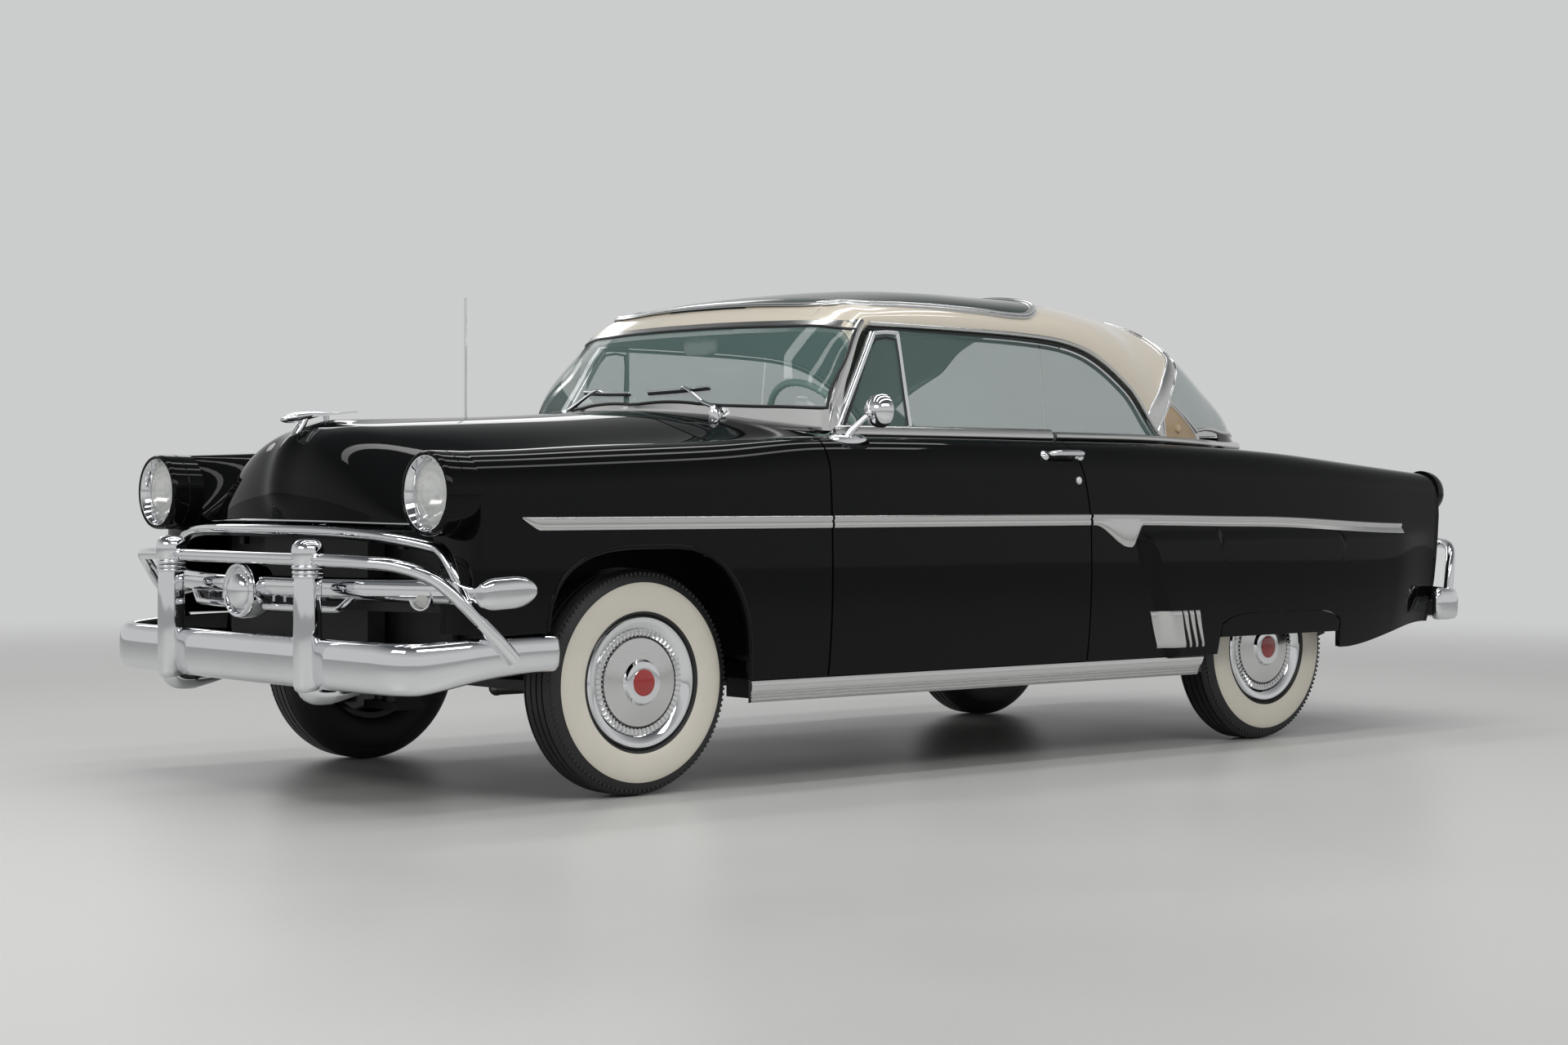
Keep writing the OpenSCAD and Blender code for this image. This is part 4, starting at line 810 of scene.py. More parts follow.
@dataclass
class Panels:
    """Painted sheet panels of the body."""

    thick: float = 0.022
    rows: int = 110
    arch_x: float = FX + 0.022
    arch_w: float = 0.385
    arch_top: float = 0.742
    rear_arch_x: float = RX + 0.065
    rear_arch_w: float = 0.345

    def build(self) -> None:
        """Makes every fixed panel and the hood and lid."""
        for side in Side:
            self._front_fender(side)
            self._quarter(side)
        self._skirts()
        self._hood()
        self._lid()
        self._cowl()
        self._deck()
        self._nose()

    def _plate(self, name: str, grid: Array, body: str, node: str, inward: float = 1.0,
               side: Side = Side.LEFT) -> None:
        """One sheet from its outer grid, replacing its node."""
        part = shell(grid, grid + inward * self.thick * normals(grid))
        piece = add_mesh(name, mirrored(part, side), PAINT, body)
        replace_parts(rounded(piece), node)

    def front_arch(self, x: Array) -> Array:
        """Lower edge of the front fender."""
        u = (x - self.arch_x) / self.arch_w
        low = np.where(u > 0, 0.505, 0.335)
        return low + (self.arch_top - low) * np.maximum(1 - np.abs(u) ** 3.2, 0.0) ** (1 / 2.2)

    def rear_arch(self, x: Array) -> Array:
        """Lower edge of the quarter."""
        u = np.abs((x - self.rear_arch_x) / self.rear_arch_w)
        low = mix(0.333, 0.412, smooth_step(RX - 0.280, TAIL, x))
        return np.where(u >= 1, np.maximum(0.335, low), np.maximum(low, 0.480 - 0.040 * u ** 6))

    def _front_fender(self, side: Side) -> None:
        """Front fender with its wheel arch."""
        turn = np.linspace(0, math.pi, 56)
        xs = np.concatenate([np.linspace(DOOR_FRONT + GAP, self.arch_x - self.arch_w, 26)[:-1],
                             self.arch_x - self.arch_w * np.cos(turn),
                             np.linspace(self.arch_x + self.arch_w, NOSE, 26)[1:]])
        q = np.concatenate([np.linspace(0, 1, 30), np.linspace(1, 2, 14)[1:], np.linspace(2, 3, 16)[1:]])
        grid = SHAPE.skin(xs[:, None], q[None, :], self.front_arch(xs)[:, None])
        self._plate(f"fender_skin_{side.word}", grid, "body", f"front_fender_{side.word}", side=side)
        rim = xyz(xs, SHAPE.side_y(xs, self.front_arch(xs)), self.front_arch(xs))
        rim = rim[np.abs(xs - self.arch_x) <= self.arch_w]
        rim = xyz(rim[:, 0], rim[:, 1] - 0.002, rim[:, 2] + 0.006)
        add_mesh(f"arch_bead_{side.word}", mirrored(tube(rim, 0.0075, 12), side), PAINT)

    def _quarter(self, side: Side) -> None:
        """Rear quarter with the swelling of the rear fender."""
        s = down(160)
        q = np.concatenate([np.linspace(0, 1, 46), np.linspace(1, 2, 12)[1:], np.linspace(2, 3, 12)[1:]])[None, :]
        x = mix(TAIL, DOOR_REAR - GAP, s) + 0 * q
        for _ in range(3):
            grid = SHAPE.skin(x, q, self.rear_arch(x))
            x = mix(TAIL, door_rear_edge(grid[..., 2]) - GAP, s)
        grid = SHAPE.skin(x, q, self.rear_arch(x))
        grid[..., 0] += tail_lean(grid[..., 0], grid[..., 2])
        self._plate(f"quarter_skin_{side.word}", grid, "body", f"quarter_{side.word}", side=side)

    def _skirts(self) -> None:
        """Covers over the rear wheels."""
        a = down(60, 0, math.pi)
        x = self.rear_arch_x - 0.985 * self.rear_arch_w * np.cos(a)
        top = self.rear_arch(x) - 0.0012 - 0.005 * np.abs(np.cos(a)) ** 6
        z = mix(0.396, top, over(14))
        x = x + 0 * z
        grid = xyz(x, SHAPE.side_y(x, z) - 0.001, z)
        piece = add_mesh("skirt_plates", both(shell(grid, grid + self.thick * normals(grid))), PAINT)
        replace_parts(rounded(piece), "fender_skirts")

    def _hood(self) -> None:
        """Hood, from the cowl down to its lip over the grille."""
        t, v = down(90, 0, 8), over(75, 1, -1)
        grid = SHAPE.hood(t + 0 * v, v + 0 * t)
        ridge = 0.013 * np.exp(-(grid[..., 1] / 0.055) ** 2) * smooth_step(1.0, 4.5, t) * smooth_step(8.0, 7.2, t)
        self._plate("hood_skin", grid - ridge[..., None] * normals(grid), "hood", "hood")

    def _lid(self) -> None:
        """Trunk lid."""
        t, v = down(60, 0, 5), over(50, 1, -1)
        self._plate("lid_skin", SHAPE.lid(t + 0 * v, v + 0 * t), "trunk_lid", "trunk_lid", -1.0)

    def _cowl(self) -> None:
        """Cowl between hood and windshield."""
        v = np.linspace(1, -1, 80)
        front = SHAPE.hood(0 * v, v) - (0.007, 0, 0)
        back = xyz(mix(FX - 0.582, FX - 0.760, v * v), v * (HALF_W - 0.199), mix(BELT + 0.092, BELT + 0.002, v * v))
        s = np.linspace(0, 1, 24)[:, None, None]
        self._plate("cowl_skin", mix(front[None], back[None], s), "body", "cowl", -1.0)

    def _deck(self) -> None:
        """Deck between the rear window and the lid."""
        v = np.linspace(1, -1, 80)
        front = SHAPE.lid(0 * v, v) + (0.007, 0, 0)
        back = deck_edge(v * (HALF_W - 0.292), 0.296, 0.012, -0.018)
        s = np.linspace(0, 1, 16)[:, None, None]
        self._plate("deck_skin", mix(front[None], back[None], s), "body", "rear_deck")

    def _nose(self) -> None:
        """Panel between the hood lip and the grille moulding."""
        v = np.linspace(1, -1, 90)
        lip = SHAPE.hood(8 + 0 * v, v) - (0, 0, 0.013)
        mouth = mouth_line(v, 0.842)
        s = np.linspace(0, 1, 14)[:, None, None]
        self._plate("nose_skin", mix(lip[None], mouth[None], s), "body", "front_panel")


@dataclass
class Door:
    """One door with its skin and card."""

    side: Side
    low: float = DOOR_LOW

    @property
    def body(self) -> str:
        """Body of the frame that the door rides on."""
        return f"door_{self.side.word}"

    def build(self) -> None:
        """Makes the door's skin and its card."""
        s = down(90)
        q = np.concatenate([np.linspace(0, 1, 44), np.linspace(1, 2, 14)[1:], np.linspace(2, 3, 5)[1:]])[None, :]
        x = mix(DOOR_REAR + GAP, DOOR_FRONT - GAP, s) + 0 * q
        for _ in range(3):
            grid = SHAPE.skin(x, q, self.low + 0 * x, 0.3, 0.0)
            x = mix(door_rear_edge(grid[..., 2]) + GAP, DOOR_FRONT - GAP, s)
        grid = SHAPE.skin(x, q, self.low + 0 * x, 0.3, 0.0)
        up = (grid[..., 2] - self.low) / (BELT - self.low)
        inner = grid.copy()
        inner[..., 1] = np.minimum(mix(SHAPE.side_y(grid[..., 0], WIDE_Z) - 0.070, HALF_W - 0.187, up),
                                   grid[..., 1] - 0.02)
        piece = add_mesh(f"door_skin_{self.side.word}", mirrored(shell(grid, inner), self.side), PAINT, self.body)
        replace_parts(rounded(piece), f"door_{self.side.word}")
        card = inner[4:-4:3, 4:-6:3].copy()
        card[..., 1] -= 0.004
        add_mesh(f"door_card_{self.side.word}", mirrored(shell(card, card + (0, 0.004, 0)), self.side), VINYL,
                 self.body)


@dataclass
class Glasshouse:
    """Roof, its see-through panel and the windows."""

    panel_x: float = FX - 1.980
    panel_l: float = 1.070
    panel_w: float = 1.000
    thick: float = 0.022

    def build(self) -> None:
        """Makes the roof and every pane."""
        self._roof()
        self._roof_panel()
        self._windshield()
        self._backlight()
        for name in ("door_glass_left", "door_glass_right", "quarter_glass"):
            dress(name, GLASS)

    def inset(self, grid: Array, depth: float) -> Array:
        """Grid moved towards the inside of the car."""
        return grid - depth * outward(grid)

    def sheet(self, grid: Array, out: Array | float, depth: float) -> Part:
        """Plate from a little outside a grid to a little inside it."""
        return shell(self.inset(grid, -out), self.inset(grid, depth))

    def roof_z(self, x: Array, y: Array) -> Array:
        """Height of the roof at x and y."""
        return SHAPE.dome(x, SHAPE.dome_angle(x, y))[..., 2]

    def _roof(self) -> None:
        """Roof skin with the opening for the panel."""
        inside = np.linspace(-self.panel_w / 2, self.panel_w / 2, 41)
        x0, x1 = self.panel_x, self.panel_x + self.panel_l
        rows = [(0.0, 1.0, 22), (1.0, 2.0, 32), (2.0, 3.0, 16)]
        s = np.concatenate([np.linspace(a, b, n)[:-1] for a, b, n in rows] + [[3.0]])[:, None]
        turn = np.linspace(0, 1, 22)[1:]

        def place(a: Array) -> Array:
            """Place along the car of each row at angle a."""
            ends = [ROOF_FOOT(np.abs(a)), x0 + 0 * a, x1 + 0 * a, header(a) - 0.001]
            parts = [mix(ends[k], ends[k + 1], np.clip(s - k, 0, 1)) for k in range(3)]
            return np.where(s <= 1, parts[0], np.where(s <= 2, parts[1], parts[2]))

        y = inside[None, :] + 0 * s
        a = np.degrees(np.arcsin((np.abs(y) / 0.73) ** 1.3)) * np.sign(y)
        for _ in range(8):
            a = SHAPE.dome_angle(place(a), y)
        edge = np.abs(a[:, -1:])
        right = mix(edge, 90.0, turn[None, :])
        full = np.concatenate([-right[:, ::-1], a, right], 1)
        grid = SHAPE.dome(place(full), full)
        grid[:, len(turn):len(turn) + 41, 1] = y
        keep = np.ones((grid.shape[0] - 1, grid.shape[1] - 1), bool)
        keep[21:52, len(turn):len(turn) + 40] = False
        roof = add_mesh("roof_skin", shell(grid, self.inset(grid, self.thick * 0.7), keep), CREAM)
        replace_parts(rounded(roof, 0.003), "roof")
        liner = self.inset(grid, self.thick)
        add_mesh("headliner", shell(liner, self.inset(liner, 0.004), keep), LINER)

    def _roof_panel(self) -> None:
        """Tinted panel over the front seats."""
        gap = 0.0006
        x = np.linspace(self.panel_x + gap, self.panel_x + self.panel_l - gap, 40)[:, None]
        y = over(40, -1, 1) * (self.panel_w / 2 - gap)
        x, y = x + 0 * y, y + 0 * x
        grid = xyz(x, y, np.minimum(self.roof_z(x, y), ROOF + 0.0018))
        pane = add_mesh("roof_pane", shell(grid, self.inset(grid, 0.012)), TINT)
        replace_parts(pane, "roof_glass")

    def _windshield(self) -> None:
        """Wrapped windshield, its bright frame, posts and seal."""
        c = np.linspace(-1, 1, 121)
        along = np.linspace(FX - 0.768, SHIELD_FOOT, 400)
        foot_x = np.interp(SHIELD_HALF * np.abs(c), SHAPE.dome_edge(along)[0][::-1], along[::-1])
        foot = SHAPE.dome(foot_x, 90 * np.sign(c))
        shrink = mix(0.962, 0.9915, smooth_step(0.0, 0.55, np.abs(c)))
        low_x, low_y = 0.80 + (foot_x - 0.80) * shrink, foot[:, 1] * shrink
        low = SHAPE.dome(low_x, SHAPE.dome_angle(low_x, low_y))
        top_a = 80 * c
        top = SHAPE.dome(header(top_a) + 0.022, top_a)
        share = np.linspace(0.006, 0.994, 32)[:, None, None]
        flat = mix(top[None], low[None], share)
        grid = SHAPE.dome(flat[..., 0], SHAPE.dome_angle(flat[..., 0], flat[..., 1]))
        pane = add_mesh("windshield_pane", shell(grid, self.inset(grid, 0.006)), GLASS)
        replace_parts(pane, "windshield")
        rise = np.linspace(1, 0, 40)[1:-1, None]
        edge = mix(top[-1:], low[-1:], rise)
        edge = SHAPE.dome(edge[:, 0], SHAPE.dome_angle(edge[:, 0], edge[:, 1]))
        rim_x = mix(header(90), foot_x[-1], rise[:, 0])
        rim = SHAPE.dome(rim_x, 90 + 0 * rim_x)
        above = SHAPE.dome(header(top_a * 9 / 8), top_a * 9 / 8)
        inside = np.concatenate([low, edge, top[::-1], flip(edge, Side.RIGHT)[::-1]])
        outside = np.concatenate([foot, rim, above[::-1], flip(rim, Side.RIGHT)[::-1]])
        ring = np.stack([mix(inside, outside, t) for t in np.linspace(0, 1, 6)], 1)
        ring = np.concatenate([ring, ring[:1]], 0)
        bright = add_mesh("windshield_trim", shell(ring, self.inset(ring, self.thick)), STEEL, sharp=50.0)
        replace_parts(rounded(bright, 0.004), "windshield_frame")
        add_mesh("windshield_seal", tube(self.inset(inside, 0.0005), 0.0055, 10, True), SEAL)
        inner = [(foot_x[-1] - 0.014, 79.0), (0.790, 79.0), (0.735, 78.0), (0.702, 76.0), (0.690, 72.0),
                 (0.697, 66.0)]
        outer = [(foot_x[-1], 90.0), (0.800, 90.0), (0.740, 90.0), (0.690, 90.0), (0.655, 88.0), (0.670, 77.0)]
        rows = np.stack([mix(smooth_path(outer, 50), smooth_path(inner, 50), t) for t in np.linspace(0, 1, 10)], 1)
        post = SHAPE.dome(rows[..., 0], rows[..., 1])
        add_mesh("windshield_posts", both(self.sheet(post, 0.003, 0.002)), STEEL, sharp=50.0)

    def _backlight(self) -> None:
        """Wrapped rear window, its trim and the painted strip at its foot."""
        c = np.linspace(-0.985, 0.985, 141)
        top = SHAPE.dome(pane_front(90 * c) - 0.0004, 89 * c)
        along = np.linspace(RX - 0.2885, float(pane_front(np.array(90.0))), 400)
        wide, _ = SHAPE.dome_edge(along)
        foot_y = (wide[-1] - 0.002) * np.sin(np.abs(c) * math.pi / 2) ** 0.9
        foot = SHAPE.dome(np.interp(foot_y, wide, along) + 0.003, np.where(c < 0, -90.0, 90.0))
        foot[:, 1] = foot_y * np.sign(c)
        flat = mix(foot[None], top[None], np.linspace(0.004, 1, 34)[:, None, None])
        grid = SHAPE.dome(flat[..., 0], SHAPE.dome_angle(flat[..., 0], flat[..., 1]))
        edge = grid[0][np.abs(grid[0, :, 1]) < 0.640]
        deck = deck_edge(edge[:, 1], 0.298, 0.011, -0.018)
        strip = np.stack([mix(deck, edge, s) for s in np.linspace(0, 1, 6)], 0)
        add_mesh("rear_pane_foot", shell(strip, strip - (0, 0, 0.004)), PAINT, sharp=50.0)
        pane = add_mesh("rear_pane", shell(grid, self.inset(grid, 0.006)), GLASS)
        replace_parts(pane, "backlight")
        rim = np.concatenate([grid[0], grid[1:-1, -1], grid[-1, ::-1], grid[-2:0:-1, 0]])
        add_mesh("rear_pane_trim", tube(rim, 0.007, 10, True), STEEL)


class Layout(Enum):
    """How a repeated bar is laid out."""

    RING = "ring"
    ROW = "row"


@dataclass
class Repeat:
    """One small bar repeated round a ring or along a row, made with Geometry Nodes."""

    name: str
    layout: Layout
    count: int
    reach: float
    bar: tuple[float, float, float]
    finish: Finish

    def build(self, place: Matrix, body: str, slot: str) -> bpy.types.Object:
        """Grows the bars and puts them in place.

        Args:
            place: from the pattern's own axes (ring about Z, row along X) to the car.
            body: body that the piece rides on.
            slot: material slot of the record; not used.

        Returns:
            The finished piece, its nodes turned into plain mesh.
        """
        group = self._tree()
        holder = bpy.data.objects.new(self.name, bpy.data.meshes.new(self.name))
        bpy.context.scene.collection.objects.link(holder)
        grow = holder.modifiers.new("repeat", "NODES")
        grow.node_group = group
        values = {"Count": self.count, "Reach": self.reach, "Bar": self.bar, "Finish": self.finish.make()}
        for item in group.interface.items_tree:
            if item.in_out == "INPUT":
                grow[item.identifier] = values[item.name]
        bpy.context.view_layer.update()
        made = bpy.data.meshes.new_from_object(holder.evaluated_get(bpy.context.evaluated_depsgraph_get()))
        made.transform(place)
        if place.determinant() < 0:
            made.flip_normals()
        holder.modifiers.clear()
        holder.data = made
        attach(holder, body)
        LOG.info("%s: %d faces on %s", self.name, len(made.polygons), body)
        return holder

    def _tree(self) -> bpy.types.NodeTree:
        """Node tree with named inputs for the sizes."""
        tree = bpy.data.node_groups.new(self.name, "GeometryNodeTree")
        for label, kind in (("Count", "Int"), ("Reach", "Float"), ("Bar", "Vector"), ("Finish", "Material")):
            tree.interface.new_socket(label, in_out="INPUT", socket_type=f"NodeSocket{kind}")
        tree.interface.new_socket("Geometry", in_out="OUTPUT", socket_type="NodeSocketGeometry")
        node = tree.nodes.new
        link = tree.links.new
        given, out = node("NodeGroupInput"), node("NodeGroupOutput")
        bar, copies = node("GeometryNodeMeshCube"), node("GeometryNodeInstanceOnPoints")
        solid, paint = node("GeometryNodeRealizeInstances"), node("GeometryNodeSetMaterial")
        if self.layout is Layout.RING:
            path = node("GeometryNodeMeshCircle")
            link(given.outputs["Count"], path.inputs["Vertices"])
            link(given.outputs["Reach"], path.inputs["Radius"])
            turn, spot = node("FunctionNodeAlignRotationToVector"), node("GeometryNodeInputPosition")
            turn.axis, turn.pivot_axis = "X", "Z"
            link(spot.outputs["Position"], turn.inputs["Vector"])
            link(turn.outputs["Rotation"], copies.inputs["Rotation"])
        else:
            path = node("GeometryNodeMeshLine")
            path.mode = "END_POINTS"
            far = node("ShaderNodeCombineXYZ")
            link(given.outputs["Reach"], far.inputs["X"])
            link(given.outputs["Count"], path.inputs["Count"])
            link(far.outputs["Vector"], path.inputs["Offset"])
        link(given.outputs["Bar"], bar.inputs["Size"])
        link(path.outputs["Mesh"], copies.inputs["Points"])
        link(bar.outputs["Mesh"], copies.inputs["Instance"])
        link(copies.outputs["Instances"], solid.inputs["Geometry"])
        link(solid.outputs["Geometry"], paint.inputs["Geometry"])
        link(given.outputs["Finish"], paint.inputs["Material"])
        link(paint.outputs["Geometry"], out.inputs["Geometry"])
        return tree


def axes(x: Sequence[float], y: Sequence[float], z: Sequence[float], at: Sequence[float]) -> Matrix:
    """Placement with the given axes at a point."""
    return Matrix.Translation(at) @ Matrix((x, y, z)).transposed().to_4x4()


def smooth_path(points: Sequence[Sequence[float]], count: int = 60) -> Array:
    """Even points along a smooth curve through the given ones."""
    points = np.asarray(points, float)
    reach = np.concatenate([[0.0], np.cumsum(np.linalg.norm(np.diff(points, axis=0), axis=1))])
    at = np.linspace(0, reach[-1], count)
    return np.stack([Line(reach, column, 0.0)(at) for column in points.T], -1)


def ball(centre: Sequence[float], radius: float, axis: Sequence[float] = (0, 0, 1), flat: float = 1.0,
         segments: int = 32) -> Part:
    """Round knob, flattened along its axis if asked."""
    a = np.linspace(0, math.pi, 17)
    profile = [(max(radius * math.sin(t), 0.0), radius * flat * math.cos(t)) for t in a]
    profile[0], profile[-1] = (0.0, radius * flat), (0.0, -radius * flat)
    return lathe(profile, centre, axis, segments)


def box(low: Sequence[float], high: Sequence[float]) -> Part:
    """Plain block between two corners."""
    points = np.array([[(low, high)[i][0], (low, high)[j][1], (low, high)[k][2]]
                       for i in (0, 1) for j in (0, 1) for k in (0, 1)], float)
    return points, [(0, 1, 3, 2), (4, 6, 7, 5), (0, 4, 5, 1), (2, 3, 7, 6), (0, 2, 6, 4), (1, 5, 7, 3)]


@dataclass
class FrontEnd:
    """Bumper, guard, grille, aprons, lamps, ornament and the closing of the fender fronts."""

    BUMP = ((0.0, 0.898), (0.300, 0.897), (0.520, 0.895), (0.680, 0.891), (0.780, 0.878), (0.852, 0.834),
            (0.890, 0.742), (0.904, 0.600), (0.905, 0.380))
    FACE = ((-0.038, 0.346), (-0.033, 0.341), (-0.020, 0.340), (-0.010, 0.346), (-0.003, 0.358), (0.000, 0.376),
            (0.001, 0.400), (0.001, 0.425), (0.000, 0.446), (-0.003, 0.462), (-0.009, 0.477), (-0.018, 0.485),
            (-0.030, 0.486), (-0.038, 0.482))
    bar_z: float = 0.612
    lamp_y: float = HALF_W - 0.144
    lamp_z: float = 0.904
    lens_r: float = 0.0905

    def build(self) -> None:
        """Makes the whole front."""
        self._bumper()
        self._guard_feet()
        self._grille()
        self._mouth()
        self._aprons()
        self._fender_fronts()
        for side in Side:
            self._headlamp(side)
            self._parking_lamp(side)
            self._bar_cap(side)
        self._ornament()

    def _bumper(self) -> None:
        """Chrome bar with its ends swept round the fenders and rising a little."""
        across, ahead = (Line(range(9), column, 0.015) for column in zip(*self.BUMP))
        s = np.concatenate([np.linspace(8, 0, 90)[:-1], np.linspace(0, 8, 90)])
        sign = np.concatenate([-np.ones(89), np.ones(90)])
        path = xyz(FX + ahead(s), sign * across(s), 0)
        step = unit(np.gradient(path, axis=0))
        out = xyz(step[:, 1], -step[:, 0], 0)
        rise = smooth_step(5.0, 8.0, s)[:, None]
        rings = np.stack([path + d * out + UP * mix(z, 0.392 + (z - 0.340) * 0.76, rise)
                          for d, z in self.FACE], 1)
        steps = ((0.95, 0.007), (0.82, 0.013), (0.56, 0.017), (0.2, 0.0185))
        ends = [tip_rings(ring, way, steps) for ring, way in ((rings[0], -step[0]), (rings[-1], step[-1]))]
        rings = np.concatenate([ends[0][::-1], rings, ends[1]])
        piece = add_mesh("bumper_bar", capped(rings), CHROME, sharp=50.0)
        irons = [box((FX + 0.8003, side.value * 0.405 - 0.03, 0.370),
                     (FX + 0.868, side.value * 0.405 + 0.03, 0.440)) for side in Side]
        add_mesh("bumper_irons", join(*irons), FRAME)
        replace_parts(piece, "front_bumper")

    def _guard_feet(self) -> None:
        """Guard posts with caps, hooks and collars, and the tube bent down onto the bumper ends."""
        parts = []
        for side in Side:
            y = side.value * GUARD_Y
            hook = smooth_path([(2.528, y, 0.372), (2.526, y, 0.345), (2.505, y, 0.328), (2.44, y, 0.326),
                                (2.36, y, 0.330)], 24)
            parts.append(tube(hook, np.concatenate([np.full(12, 0.034), np.linspace(0.034, 0.016, 12)]), 20))
            for z, r in ((0.664, 0.0385), (0.676, 0.0395), (0.690, 0.0405)):
                turn = around(48)
                ring = xyz(GUARD_X + r * np.cos(turn), y + r * np.sin(turn), z)
                parts.append(tube(ring, 0.006, 10, True))
        add_mesh("guard_feet", join(*parts), CHROME)
        parts = []
        arm = smooth_path([(2.528, 0.0, 0.712), (2.528, 0.300, 0.712), (2.522, 0.500, 0.712), (2.494, 0.640, 0.709),
                           (2.444, 0.745, 0.700), (2.384, 0.826, 0.668), (2.328, 0.868, 0.612),
                           (2.240, 0.898, 0.518), (2.165, 0.908, 0.440)], 90)
        whole = np.concatenate([flip(arm, Side.RIGHT)[:0:-1], arm])
        parts.append(tube(whole, GUARD_TUBE, 20))
        for side in Side:
            y = side.value * GUARD_Y
            sleeve = smooth_path([(2.262, side.value * 0.891, 0.541), (2.215, side.value * 0.903, 0.492),
                                  (2.160, side.value * 0.909, 0.434)], 16)
            parts.append(tube(sleeve, np.linspace(0.0215, 0.0225, 16), 20))
            turn = around(64)
            rows = []
            wide = signed(np.sin(turn), 0.85)
            for z, k in ((0.328, 0.60), (0.336, 0.86), (0.352, 1.0), (0.50, 1.0), (0.640, 0.97), (0.662, 0.94)):
                r = POST_R * k
                rows.append(xyz(GUARD_X + r * np.cos(turn), y + r * wide, z))
            parts.append(capped(np.stack(rows)))
            parts.append(lathe((*POST_CAP, (0.0, 0.6890)), (GUARD_X, y, 0.0), UP, 64))
        guard = add_mesh("front_guard_bars", join(*parts), CHROME, sharp=40.0)
        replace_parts(guard, "front_guard")

    def _bar_path(self, v: Array, z: float) -> Array:
        """Points along the grille bar for share v of its half width."""
        return xyz(FX + 0.850 - 0.200 * v * v, (HALF_W - 0.132) * v, z)

    def _grille(self) -> None:
        """Wing-shaped bar, the slot with its teeth and the round bullet in the middle."""
        v = np.linspace(-1, 1, 121)
        path = self._bar_path(v, self.bar_z + 0.016)
        step = unit(np.gradient(path, axis=0))
        out = np.cross(step, (0, 0, 1.0))
        wing = [(-0.034, -0.02), (-0.036, 0.004), (-0.026, 0.018), (-0.008, 0.026), (0.012, 0.027), (0.028, 0.018),
                (0.036, 0.002), (0.034, -0.02)]
        parts = [sweep(path, UP, out, wing, 0.86 + 0.30 * v ** 4)]
        for side in Side:
            w = side.value * np.linspace(0.10, 0.60, 40)
            low = self._bar_path(w, self.bar_z - 0.046)
            low[:, 2] += 0.040 * smooth_step(0.50, 0.60, np.abs(w))
            parts.append(tube(low, 0.011, 12))
        bar = add_mesh("grille_bar", join(*parts), CHROME, sharp=60.0)
        dome = [(0.0, 0.079), (0.020, 0.0775), (0.040, 0.071), (0.052, 0.062), (0.058, 0.052), (0.060, 0.044),
                (0.064, 0.042), (0.067, 0.052), (0.072, 0.060), (0.078, 0.061), (0.083, 0.054), (0.085, 0.040),
                (0.084, 0.010), (0.074, -0.030), (0.045, -0.055), (0.0, -0.060)]
        add_mesh("grille_bullet", lathe(dome, (FX + 0.840, 0, self.bar_z), (1, 0, 0), 96), CHROME, sharp=30.0)
        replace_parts(bar, "grille")
        back = [(FX + 0.800 - 0.20 * u * u, 0.75 * u, self.bar_z - 0.015) for u in np.linspace(-1, 1, 50)]
        add_mesh("grille_back", sweep(np.array(back), UP, np.array([1.0, 0, 0]),
                                      ((-0.035, -0.004), (-0.035, 0.004), (0.035, 0.004), (0.035, -0.004))), SEAL)
        for side in Side:
            Repeat(f"grille_teeth_{side.word}", Layout.ROW, 4, 0.16, (0.012, 0.022, 0.020), CHROME).build(
                axes((-0.12, side.value * 0.99, 0), (0.99, side.value * 0.12, 0), (0, 0, 1),
                     (FX + 0.838, side.value * 0.13, self.bar_z - 0.020)), "body", "chrome")
        stays = [box((FX + 0.5563, side.value * 0.35 - 0.02, 0.590), (FX + 0.815, side.value * 0.35 + 0.02, 0.634))
                 for side in Side]
        add_mesh("grille_stays", join(*stays), FRAME)

    def _mouth(self) -> None:
        """Bright moulding over the grille opening, turned down at its ends."""
        v = np.linspace(-0.96, 0.96, 80)
        top = mouth_line(v, 0.850)
        end = smooth_path([top[-1], (FX + 0.676, 0.772, 0.728), (FX + 0.672, 0.800, 0.696),
                           (FX + 0.664, 0.818, 0.664), (FX + 0.658, 0.826, 0.640)], 22)[1:]
        path = np.concatenate([flip(end, Side.RIGHT)[::-1], top, end])
        add_mesh("mouth_moulding", tube(path, 0.0145, 16), CHROME, sharp=60.0)
        bead = SHAPE.hood(8 + 0 * v, v) + (0.004, 0, -0.004)
        add_mesh("hood_lip_bead", tube(bead, 0.0045, 10), CHROME, "hood", sharp=60.0)

    def _aprons(self) -> None:
        """Dark plates beside the radiator that close the wheel wells to the front."""
        s, z = down(24), over(12, 0.450, 0.840)
        y = mix(0.285, 0.878, s) - 0.25 * np.maximum(0.560 - z, 0.0) * s
        x = FX + 0.560 - 0.120 * s * s + 0 * z
        grid = xyz(x, y, z)
        add_mesh("front_aprons", both(shell(grid, grid - (0.004, 0, 0))), FRAME, sharp=50.0)

    def _fender_fronts(self) -> None:
        """Rounded closing of each fender below its lamp."""
        z = down(44, 0.505, 0.930)
        a = over(18, 0, math.pi / 2)
        y0 = SHAPE.side_y(NOSE + 0 * z, z)
        inner = 0.745 - 0.06 * smooth_step(0.70, 0.83, z)
        y = inner + (y0 - inner) * np.cos(a)
        x = NOSE - 0.001 + mix(0.030, 0.010, smooth_step(0.765, 0.835, z)) * np.sin(a)
        grid = xyz(x, y, z)
        skin = grid - (0.012, 0, 0)
        skin[..., 1] -= 0.010 * np.cos(a)
        add_mesh("fender_fronts", both(shell(grid, skin)), PAINT)

